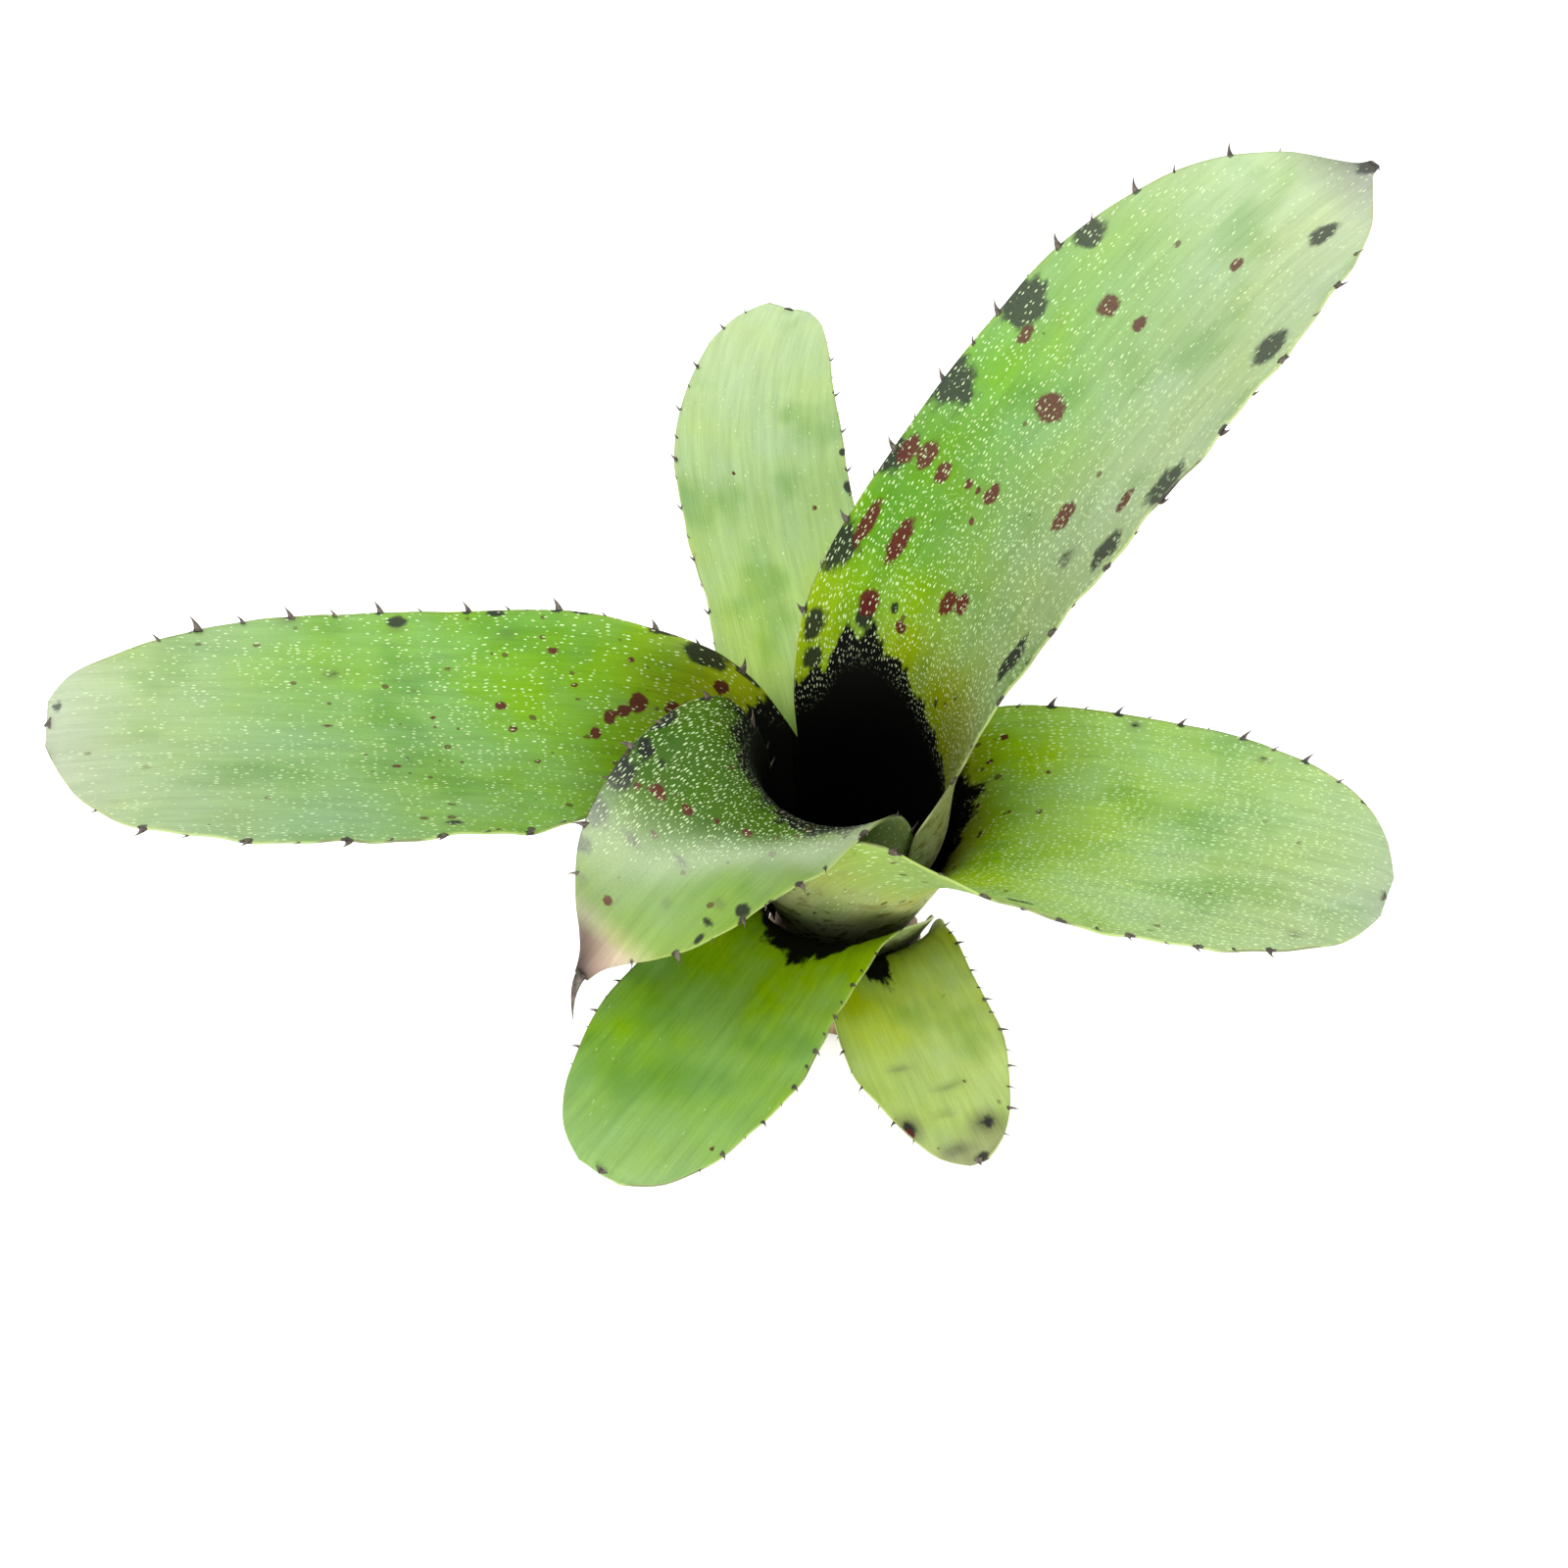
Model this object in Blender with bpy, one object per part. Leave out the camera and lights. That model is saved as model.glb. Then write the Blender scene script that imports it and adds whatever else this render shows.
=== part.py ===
"""Neoregelia bromeliad rosette, cut at the base of its stem.

Seven strap leaves grow from one short stem. Each leaf wraps its neighbours
with a sheath, then turns outward into a toothed blade. The plant rests on the
flat cut face of the stem. Lengths below are in millimetres, angles in degrees.
"""
import math

import bpy
import numpy as np

MM = 0.001

# Stem: a tapering stub, flat where it was cut, with a growing tip in the cup.
STEM_PROFILE = [(17.2, 0.0), (17.9, 1.2), (17.5, 5.0), (18.0, 9.0), (17.5, 12.0),
                (17.2, 14.2), (15.5, 16.9), (13.8, 20.0), (12.3, 24.0), (11.0, 27.0),
                (9.9, 30.0), (9.2, 34.0), (8.0, 38.0), (5.6, 42.0), (2.8, 45.5)]
STEM_TOP = 47.0
STEM_SIDES = 40

# Sheaths nest round the plant axis: the tube is narrow on the stem and bulges.
TUBE_FOOT_RADIUS = 8.0
TUBE_BULGE = 9.5
TUBE_RISE = (20.0, 60.0)
SHEATH_PITCH = 1.8

# Blades: thick along the middle, thin at the margin.
BLADE_THICKNESS = 1.3
MARGIN_THICKNESS = 0.7
TOOTH_BASE = 1.5
TOOTH_HOOK = 1.0
COLUMNS = 10
NO_CHANGE = [(0, 0), (1, 0)]

# Each leaf: direction round the axis, place in the nest (0 is innermost),
# height of its foot, length, and stations of (share of length, value).
LEAVES = {
    "leaf_long": dict(
        azimuth=35, nest=1, foot_z=30, length=173, leave=(0.2, 0.42),
        lean=[(0, 84), (0.3, 70), (0.5, 52), (0.75, 42), (1, 18)],
        swing=[(0, 0), (0.4, 0), (1, -10)],
        half=[(0, 18), (0.16, 29), (0.34, 31), (0.5, 29), (0.7, 28), (0.86, 22), (0.95, 12), (0.985, 5)],
        channel=[(0, 20), (0.34, 27), (0.55, 38), (0.8, 45), (1, 30)],
        tooth=(2.3, 14.0)),
    "leaf_left": dict(
        azimuth=192, nest=2, foot_z=27, length=165, leave=(0.1, 0.36),
        lean=[(0, 84), (0.28, 42), (0.5, 20), (0.75, 17), (1, 8)],
        swing=[(0, 0), (0.3, 0), (1, 2)],
        half=[(0, 18), (0.14, 25), (0.32, 19.5), (0.42, 20), (0.54, 25), (0.7, 26.5), (0.87, 24),
              (0.96, 15), (0.985, 8)],
        twist=[(0, 0), (0.22, 0), (0.36, -14), (0.6, -3), (1, 0)],
        shift=[(0, 0), (0.25, -5), (0.36, -6.5), (0.43, -7), (0.54, -2.5), (1, 0)],
        channel=[(0, 21), (0.34, 24), (0.55, 42), (0.8, 70), (1, 70)],
        tooth=(2.4, 15.0)),
    "leaf_front": dict(
        azimuth=226, nest=0, foot_z=34, length=98, leave=(0.28, 0.48),
        lean=[(0, 84), (0.4, 63), (0.58, 16), (0.75, -13), (1, -36)],
        swing=[(0, 0), (1, 0)],
        twist=[(0, 0), (0.42, 0), (0.58, -20), (1, -14)],
        shift=[(0, 0), (0.3, 6), (0.45, 6), (0.66, 1), (1, 0)],
        half=[(0, 15), (0.2, 27), (0.42, 28), (0.55, 25), (0.66, 22), (0.8, 16), (0.93, 7), (0.985, 2.5)],
        channel=[(0, 17), (0.38, 18.5), (0.52, 24), (0.7, 36), (1, 30)],
        tooth=(2.2, 12.0)),
    "leaf_right": dict(
        azimuth=336.5, nest=3, foot_z=24, length=117, leave=(0.15, 0.4),
        lean=[(0, 84), (0.32, 46), (0.5, 22), (0.75, 16), (1, 4)],
        swing=[(0, 0), (0.3, 0), (1, -5)],
        half=[(0, 19), (0.16, 34), (0.34, 29), (0.5, 27), (0.7, 26), (0.87, 21), (0.96, 13), (0.985, 8)],
        channel=[(0, 22), (0.34, 25), (0.55, 40), (0.8, 70), (1, 70)],
        tooth=(2.0, 13.0)),
    "leaf_low_left": dict(
        azimuth=246, nest=5, foot_z=17, length=107, leave=(0.15, 0.4),
        lean=[(0, 84), (0.34, 40), (0.5, 18), (0.75, 12), (1, 2)],
        swing=[(0, 0), (0.3, 0), (1, -10)],
        half=[(0, 21), (0.16, 30), (0.34, 22), (0.5, 18.5), (0.7, 19), (0.87, 15), (0.96, 9), (0.985, 5)],
        channel=[(0, 24), (0.34, 26), (0.55, 36), (0.8, 60), (1, 60)],
        tooth=(1.4, 8.0)),
    "leaf_low_right": dict(
        azimuth=282, nest=6, foot_z=14, length=86, leave=(0.18, 0.42),
        lean=[(0, 82), (0.36, 42), (0.5, 20), (0.75, 12), (1, 0)],
        swing=[(0, 0), (0.3, 0), (1, 9)],
        half=[(0, 21), (0.18, 26), (0.37, 16), (0.55, 14.5), (0.7, 14.5), (0.87, 10.5), (0.96, 5), (0.985, 3)],
        channel=[(0, 25), (0.34, 26), (0.55, 36), (0.8, 60), (1, 60)],
        tooth=(1.4, 8.0)),
    "leaf_back": dict(
        azimuth=105, nest=4, foot_z=20, length=148, leave=(0.12, 0.34),
        lean=[(0, 84), (0.28, 42), (0.45, 22), (0.7, 16), (1, 6)],
        swing=[(0, 0), (0.4, 0), (1, -36)],
        half=[(0, 20), (0.14, 30), (0.3, 22), (0.45, 19), (0.65, 19), (0.85, 15), (0.96, 8), (0.985, 5)],
        channel=[(0, 23), (0.3, 26), (0.5, 34), (0.8, 60), (1, 60)],
        tooth=(1.6, 12.0)),
}

LEAF_LOOKS = {
    "leaf_young": dict(color=(0.17, 0.33, 0.07), roughness=0.42),
    "leaf_old": dict(color=(0.36, 0.52, 0.14), roughness=0.5),
}
SLOT_OF_LEAF = {
    "leaf_long": "leaf_young",
    "leaf_left": "leaf_young",
    "leaf_front": "leaf_young",
    "leaf_right": "leaf_young",
    "leaf_low_left": "leaf_old",
    "leaf_low_right": "leaf_old",
    "leaf_back": "leaf_old",
}
STEM_LOOK = dict(color=(0.16, 0.11, 0.05), roughness=0.85)


def smooth_step(low, high, value):
    share = np.clip((value - low) / (high - low), 0.0, 1.0)
    return share * share * (3.0 - 2.0 * share)


def stations_at(stations, share):
    """Smooth curve through the stations that never overshoots them."""
    xs = np.array([point[0] for point in stations], float)
    ys = np.array([point[1] for point in stations], float)
    rise = np.diff(ys) / np.diff(xs)
    slope = np.zeros(len(xs))
    slope[0] = rise[0]
    slope[-1] = rise[-1]
    for i in range(1, len(xs) - 1):
        if rise[i - 1] * rise[i] > 0:
            before = xs[i] - xs[i - 1]
            after = xs[i + 1] - xs[i]
            first = 2 * after + before
            second = after + 2 * before
            slope[i] = (first + second) / (first / rise[i - 1] + second / rise[i])
    share = np.clip(np.asarray(share, float), xs[0], xs[-1])
    k = np.clip(np.searchsorted(xs, share, side="right") - 1, 0, len(xs) - 2)
    width = xs[k + 1] - xs[k]
    t = (share - xs[k]) / width
    start = (2 * t**3 - 3 * t**2 + 1) * ys[k] + (t**3 - 2 * t**2 + t) * width * slope[k]
    end = (3 * t**2 - 2 * t**3) * ys[k + 1] + (t**3 - t**2) * width * slope[k + 1]
    return start + end


def tube_radius(height):
    """Radius of the innermost sheath at a height above the cut."""
    return TUBE_FOOT_RADIUS + TUBE_BULGE * smooth_step(TUBE_RISE[0], TUBE_RISE[1], height)


def midrib(leaf, steps=500):
    """Path of a leaf's middle: points, lean and heading along its length."""
    length = leaf["length"]
    along = np.linspace(0.0, length, steps)
    step = along[1]
    share = along / length
    blade = smooth_step(leaf["leave"][0], leaf["leave"][1], share)
    blade_lean = np.radians(stations_at(leaf["lean"], share))
    heading = np.radians(leaf["azimuth"] + stations_at(leaf["swing"], share))
    radius = tube_radius(leaf["foot_z"]) + SHEATH_PITCH * leaf["nest"]
    point = np.array([radius * math.cos(heading[0]), radius * math.sin(heading[0]), leaf["foot_z"]])
    points = []
    leans = []
    for i in range(steps):
        flare = (tube_radius(point[2] + 0.5) - tube_radius(point[2] - 0.5))
        sheath_lean = math.atan2(1.0, flare)
        lean = sheath_lean * (1 - blade[i]) + blade_lean[i] * blade[i]
        points.append(point.copy())
        leans.append(lean)
        out = math.cos(lean) * step
        point = point + np.array([out * math.cos(heading[i]), out * math.sin(heading[i]),
                                  math.sin(lean) * step])
    return along, np.array(points), np.array(leans), heading


def leaf_points(leaf, spine, s, across):
    """Points of the leaf's middle surface at lengths s and signed distances across."""
    along, points, leans, headings = spine
    share = s / leaf["length"]
    middle = np.stack([np.interp(s, along, points[:, k]) for k in range(3)], -1)
    lean = np.interp(s, along, leans)
    heading = np.interp(s, along, headings)
    blade = smooth_step(leaf["leave"][0], leaf["leave"][1], share)
    tilt = math.pi / 2 * (1 - blade) + lean * blade
    level = np.zeros_like(heading)
    outward = np.stack([np.cos(heading), np.sin(heading), level], -1)
    side = np.stack([-np.sin(heading), np.cos(heading), level], -1)
    inward = -np.sin(tilt)[..., None] * outward
    inward[..., 2] += np.cos(tilt)
    turn = np.radians(stations_at(leaf.get("twist", NO_CHANGE), share))[..., None]
    side, inward = side * np.cos(turn) + inward * np.sin(turn), inward * np.cos(turn) - side * np.sin(turn)
    from_axis = np.hypot(middle[..., 0], middle[..., 1])
    channel = stations_at(leaf["channel"], share)
    bend = np.exp(np.log(from_axis) * (1 - blade) + np.log(channel) * blade)
    angle = across / bend
    return (middle + (bend * np.sin(angle))[..., None] * side
            + (bend * (1 - np.cos(angle)))[..., None] * inward)


def leaf_rows(leaf):
    """Lengths of the rows, with the height of a tooth at each side of each row."""
    height, spacing = leaf["tooth"]
    length = leaf["length"]
    first_tooth = 0.3 * length
    last_row = 0.985 * length
    rows = [(s, 0.0, 0.0) for s in np.linspace(0.0, first_tooth - 3.0, 9)]
    s = first_tooth
    while s + spacing < last_row - 2.0:
        rows.append((s, height, 0.0))
        rows.append((s + TOOTH_BASE, 0.0, 0.0))
        rows.append((s + spacing / 2 - TOOTH_BASE, 0.0, 0.0))
        rows.append((s + spacing / 2, 0.0, height))
        rows.append((s + spacing / 2 + TOOTH_BASE, 0.0, 0.0))
        rows.append((s + spacing - TOOTH_BASE, 0.0, 0.0))
        s += spacing
    for extra in np.linspace(s, last_row, max(3, int((last_row - s) / 3.0) + 1)):
        rows.append((extra, 0.0, 0.0))
    return rows


def make_object(name, vertices, faces, look):
    mesh = bpy.data.meshes.new(name)
    mesh.from_pydata([tuple(v * MM) for v in vertices], [], faces)
    mesh.update()
    mesh.materials.append(look)
    part = bpy.data.objects.new(name, mesh)
    bpy.context.scene.collection.objects.link(part)
    return part


def make_leaf(name, leaf, look):
    spine = midrib(leaf)
    rows = leaf_rows(leaf)
    s = np.array([row[0] for row in rows])[:, None] * np.ones((1, COLUMNS + 1))
    share = np.linspace(-1.0, 1.0, COLUMNS + 1)[None, :]
    half = stations_at(leaf["half"], s / leaf["length"])
    shift = stations_at(leaf.get("shift", NO_CHANGE), s / leaf["length"])
    across = half * share + shift
    across[:, 0] -= [row[1] for row in rows]
    across[:, -1] += [row[2] for row in rows]
    s[:, 0] += [TOOTH_HOOK if row[1] else 0.0 for row in rows]
    s[:, -1] += [TOOTH_HOOK if row[2] else 0.0 for row in rows]
    centre = leaf_points(leaf, spine, s, across)
    nudge = 0.5
    ahead = leaf_points(leaf, spine, s + nudge, across) - leaf_points(leaf, spine, s - nudge, across)
    aside = leaf_points(leaf, spine, s, across + nudge) - leaf_points(leaf, spine, s, across - nudge)
    normal = np.cross(ahead, aside)
    normal /= np.linalg.norm(normal, axis=-1, keepdims=True)
    thick = MARGIN_THICKNESS + (BLADE_THICKNESS - MARGIN_THICKNESS) * (1.0 - np.abs(share) ** 2.5)
    thick = thick * np.ones_like(s)
    thick[-4:] = MARGIN_THICKNESS
    upper = centre + normal * thick[..., None] / 2
    lower = centre - normal * thick[..., None] / 2

    count = COLUMNS + 1
    total = len(rows)
    last = total - 1
    tip = leaf_points(leaf, spine, np.array([leaf["length"]]), np.array([0.0]))[0]
    tip_normal = normal[last, COLUMNS // 2]
    vertices = list(upper.reshape(-1, 3)) + list(lower.reshape(-1, 3))
    vertices.append(tip + tip_normal * MARGIN_THICKNESS / 2)
    vertices.append(tip - tip_normal * MARGIN_THICKNESS / 2)
    tip_up = 2 * total * count
    tip_down = tip_up + 1
    under = total * count

    faces = []
    for i in range(last):
        for j in range(COLUMNS):
            a = i * count + j
            b = a + 1
            c = a + count
            d = c + 1
            faces.append((a, c, d))
            faces.append((a, d, b))
            faces.append((under + a, under + d, under + c))
            faces.append((under + a, under + b, under + d))
        a = i * count
        b = a + count
        faces.append((a, under + a, under + b))
        faces.append((a, under + b, b))
        a += COLUMNS
        b += COLUMNS
        faces.append((a, under + b, under + a))
        faces.append((a, b, under + b))
    for j in range(COLUMNS):
        a = j
        b = j + 1
        faces.append((a, under + b, under + a))
        faces.append((a, b, under + b))
        c = last * count + j
        d = c + 1
        faces.append((c, tip_up, d))
        faces.append((under + c, under + d, tip_down))
    a = last * count
    b = a + COLUMNS
    faces.append((a, under + a, tip_down))
    faces.append((a, tip_down, tip_up))
    faces.append((b, tip_down, under + b))
    faces.append((b, tip_up, tip_down))
    return make_object(name, vertices, faces, look)


def make_stem(look):
    vertices = [np.array([0.0, 0.0, 0.0])]
    faces = []
    for radius, height in STEM_PROFILE:
        for k in range(STEM_SIDES):
            angle = 2 * math.pi * k / STEM_SIDES
            vertices.append(np.array([radius * math.cos(angle), radius * math.sin(angle), height]))
    vertices.append(np.array([0.0, 0.0, STEM_TOP]))
    top = len(vertices) - 1
    for k in range(STEM_SIDES):
        here = 1 + k
        after = 1 + (k + 1) % STEM_SIDES
        faces.append((0, after, here))
        for ring in range(len(STEM_PROFILE) - 1):
            low = ring * STEM_SIDES
            high = low + STEM_SIDES
            faces.append((low + here, low + after, high + after))
            faces.append((low + here, high + after, high + here))
        rim = (len(STEM_PROFILE) - 1) * STEM_SIDES
        faces.append((rim + here, rim + after, top))
    return make_object("stem", vertices, faces, look)


def make_look(name, color, roughness):
    look = bpy.data.materials.new(name)
    look.use_nodes = True
    shader = look.node_tree.nodes["Principled BSDF"]
    shader.inputs["Base Color"].default_value = (*color, 1.0)
    shader.inputs["Roughness"].default_value = roughness
    shader.inputs["Metallic"].default_value = 0.0
    return look


for leftover in list(bpy.data.objects):
    bpy.data.objects.remove(leftover)

looks = {name: make_look(name, **look) for name, look in LEAF_LOOKS.items()}
make_stem(make_look("stem_bark", **STEM_LOOK))
for leaf_name, leaf_values in LEAVES.items():
    make_leaf(leaf_name, leaf_values, looks[SLOT_OF_LEAF[leaf_name]])
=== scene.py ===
import bpy, bmesh, math, random
import numpy as np
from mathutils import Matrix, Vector


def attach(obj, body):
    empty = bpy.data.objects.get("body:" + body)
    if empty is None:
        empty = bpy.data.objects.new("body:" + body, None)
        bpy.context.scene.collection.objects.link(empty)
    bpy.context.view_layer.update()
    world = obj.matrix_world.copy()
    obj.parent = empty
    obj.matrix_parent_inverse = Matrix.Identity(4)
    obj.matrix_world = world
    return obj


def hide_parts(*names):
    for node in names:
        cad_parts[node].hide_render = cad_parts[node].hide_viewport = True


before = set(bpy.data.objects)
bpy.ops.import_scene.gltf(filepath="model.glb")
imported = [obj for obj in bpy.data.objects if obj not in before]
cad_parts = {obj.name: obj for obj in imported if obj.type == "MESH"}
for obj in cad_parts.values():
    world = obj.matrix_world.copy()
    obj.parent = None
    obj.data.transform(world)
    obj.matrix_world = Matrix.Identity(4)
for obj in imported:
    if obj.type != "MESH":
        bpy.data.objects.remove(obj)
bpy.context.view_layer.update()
print("packed rosette loaded")

mm = 0.001
level = [(0, 0), (1, 0)]  # a leaf value that stays at zero

tube = dict(  # the innermost sheath, mm
    footRadius=8.0, bulge=9.5,  # radius at the foot, and what the cup adds to it
    riseFrom=20.0, riseTo=60.0,  # heights between which it widens
    pitch=1.8,  # from one sheath to the next
)

blade = dict(  # what all blades share, mm
    thick=1.15, marginThick=0.45, thinning=2.5,  # middle, edge, and how late it thins
    cell=0.85,  # between mesh points
    rowPacking=0.06,  # rows stand a little closer at both ends
    ribs=0.05, ribSpacing=2.6,  # lengthwise corrugation
    gutter=0.35, gutterWidth=1.6,  # fine channel along the midrib
    wave=0.3, waveLength=21.0,  # slow rise and fall of a margin
    flutter=0.5, flutterShare=0.43,  # quicker wave on it, as shares of the slow one
    sideStep=(2.1, 1.3),  # keeps the two margins from waving alike
    waveFull=0.1,  # share of the length past the sheath where waves are full
    sway=0.45, swayAlong=17.0, swayAcross=11.0,  # broad unevenness of the face
    tintShare=0.47,  # the photo is overexposed, so its colours are taken down by this
    mixing=0.8,  # share of the width over which leftTint turns into rightTint
    rimTint=(190, 200, 90), rimFrom=0.965, rimShare=0.25,  # horny line beside the margin
    fleckLoss=0.5, creamEnd=(0.9, 0.95),
    stainTint=(104, 102, 84),
    cupFade=8.0,  # over which the black of the cup ends, dark pigment deepened by painted shade
    endStrip=0.015,  # share of the length that is as thin as the margin
)

fold = dict(  # fold where the front blade turns down, mm; its pale scurf band is a painted highlight along the fold
    scurf=0.7, width=6.0, inside=(-12, 1), fleckFree=(-3, 4), fleckLoss=0.95)

spines = dict(  # hooked margin spines, mm
    first=0.3, last=0.985, tipRoom=2.0,  # where a row runs, as shares of the leaf
    height=(0.75, 0.95), smallHeight=(0.35, 0.55), smallPlace=(0.4, 0.6),  # shares, drawn at random
    base=0.3, baseMore=0.12, point=0.05,  # radius at the base by height, and at the point
    sunk=0.55, hook=1.3, hookCurve=1.8,  # depth in the margin, and the bend toward the leaf's end
    flat=0.5, rise=0.25,
    sides=8, cuts=3,
    footAhead=0.4, footIn=0.1, footRadii=(1.1, 0.7),  # the dark foot that each stands in
)

dryPoint = dict(point=0.06, sunk=0.6, flat=0.45, sides=10, cuts=6)  # at the end of a blade, mm


# curves that every leaf is drawn with

def smoothStep(low, high, value):
    share = np.clip((np.asarray(value, float) - low) / (high - low), 0.0, 1.0)
    return share * share * (3.0 - 2.0 * share)


def along(stations, share):  # smooth value through (share, value) points, with no overshoot
    xs = np.array([p[0] for p in stations], float)
    ys = np.array([p[1] for p in stations], float)
    rise = np.diff(ys) / np.diff(xs)
    slope = np.concatenate([[rise[0]], np.zeros(len(xs) - 2), [rise[-1]]])
    for i in range(1, len(xs) - 1):
        if rise[i - 1] * rise[i] > 0:
            before, after = xs[i] - xs[i - 1], xs[i + 1] - xs[i]
            first, second = 2 * after + before, after + 2 * before
            slope[i] = (first + second) / (first / rise[i - 1] + second / rise[i])
    share = np.clip(np.asarray(share, float), xs[0], xs[-1])
    k = np.clip(np.searchsorted(xs, share, side="right") - 1, 0, len(xs) - 2)
    width = xs[k + 1] - xs[k]
    t = (share - xs[k]) / width
    start = (2 * t**3 - 3 * t**2 + 1) * ys[k] + (t**3 - 2 * t**2 + t) * width * slope[k]
    return start + (3 * t**2 - 2 * t**3) * ys[k + 1] + (t**3 - t**2) * width * slope[k + 1]


def tubeRadius(height):
    return tube["footRadius"] + tube["bulge"] * smoothStep(tube["riseFrom"], tube["riseTo"], height)


def midrib(leaf, steps=500):  # mm along, points, lean and heading, stepped up the tube and out
    s = np.linspace(0.0, leaf["length"], steps)
    share = s / leaf["length"]
    free = smoothStep(*leaf["leave"], share)
    freeLean = np.radians(along(leaf["lean"], share))
    heading = np.radians(leaf["azimuth"] + along(leaf["swing"], share))
    radius = tubeRadius(leaf["footZ"]) + tube["pitch"] * leaf["nest"]
    here = np.array([radius * math.cos(heading[0]), radius * math.sin(heading[0]), leaf["footZ"]])
    points, leans = [], []
    for i in range(steps):
        sheathLean = math.atan2(1.0, tubeRadius(here[2] + 0.5) - tubeRadius(here[2] - 0.5))
        lean = sheathLean * (1 - free[i]) + freeLean[i] * free[i]
        points.append(here.copy())
        leans.append(lean)
        out, up = math.cos(lean) * s[1], math.sin(lean) * s[1]
        here = here + np.array([out * math.cos(heading[i]), out * math.sin(heading[i]), up])
    return s, np.array(points), np.array(leans), heading


def leafPoints(leaf, rib, s, across):  # mid-surface points, mm
    ss, points, leans, headings = rib
    share = s / leaf["length"]
    middle = np.stack([np.interp(s, ss, points[:, k]) for k in range(3)], -1)
    lean = np.interp(s, ss, leans)
    heading = np.interp(s, ss, headings)
    free = smoothStep(*leaf["leave"], share)
    tilt = math.pi / 2 * (1 - free) + lean * free
    outward = np.stack([np.cos(heading), np.sin(heading), 0 * heading], -1)
    side = np.stack([-np.sin(heading), np.cos(heading), 0 * heading], -1)
    inward = -np.sin(tilt)[..., None] * outward
    inward[..., 2] += np.cos(tilt)
    turn = np.radians(along(leaf.get("twist", level), share))[..., None]
    side, inward = side * np.cos(turn) + inward * np.sin(turn), inward * np.cos(turn) - side * np.sin(turn)
    fromAxis = np.hypot(middle[..., 0], middle[..., 1])
    bend = np.exp(np.log(fromAxis) * (1 - free) + np.log(along(leaf["channel"], share)) * free)
    sideways, rise = bend * np.sin(across / bend), bend * (1 - np.cos(across / bend))
    return middle + sideways[..., None] * side + rise[..., None] * inward


def leafNormal(leaf, rib, s, across):  # points out of the upper face
    reach = 0.4
    ahead = leafPoints(leaf, rib, s + reach, across) - leafPoints(leaf, rib, s - reach, across)
    aside = leafPoints(leaf, rib, s, across + reach) - leafPoints(leaf, rib, s, across - reach)
    normal = np.cross(ahead, aside)
    return normal / np.linalg.norm(normal, axis=-1, keepdims=True)


def pointAt(leaf, rib, s, across):
    return leafPoints(leaf, rib, np.array([s]), np.array([across]))[0]


def normalAt(leaf, rib, s, across):
    return leafNormal(leaf, rib, np.array([s]), np.array([across]))[0]


def halfWidth(leaf, s):
    return float(along(leaf["half"], s / leaf["length"]))


def shiftAside(leaf, s):
    return float(along(leaf.get("shift", level), s / leaf["length"]))


def toLinear(colour):  # 0-255 as seen on screen, to Blender's linear values
    c = np.asarray(colour, float) / 255.0
    return np.where(c <= 0.04045, c / 12.92, ((c + 0.055) / 1.055) ** 2.4)


def leafTint(colour):
    return toLinear(colour) * blade["tintShare"]


def colourAlong(stations, t):
    xs = [p[0] for p in stations]
    rgb = np.array([leafTint(p[1]) for p in stations])
    return np.stack([np.interp(t, xs, rgb[:, k]) for k in range(3)], -1)


# materials

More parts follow.
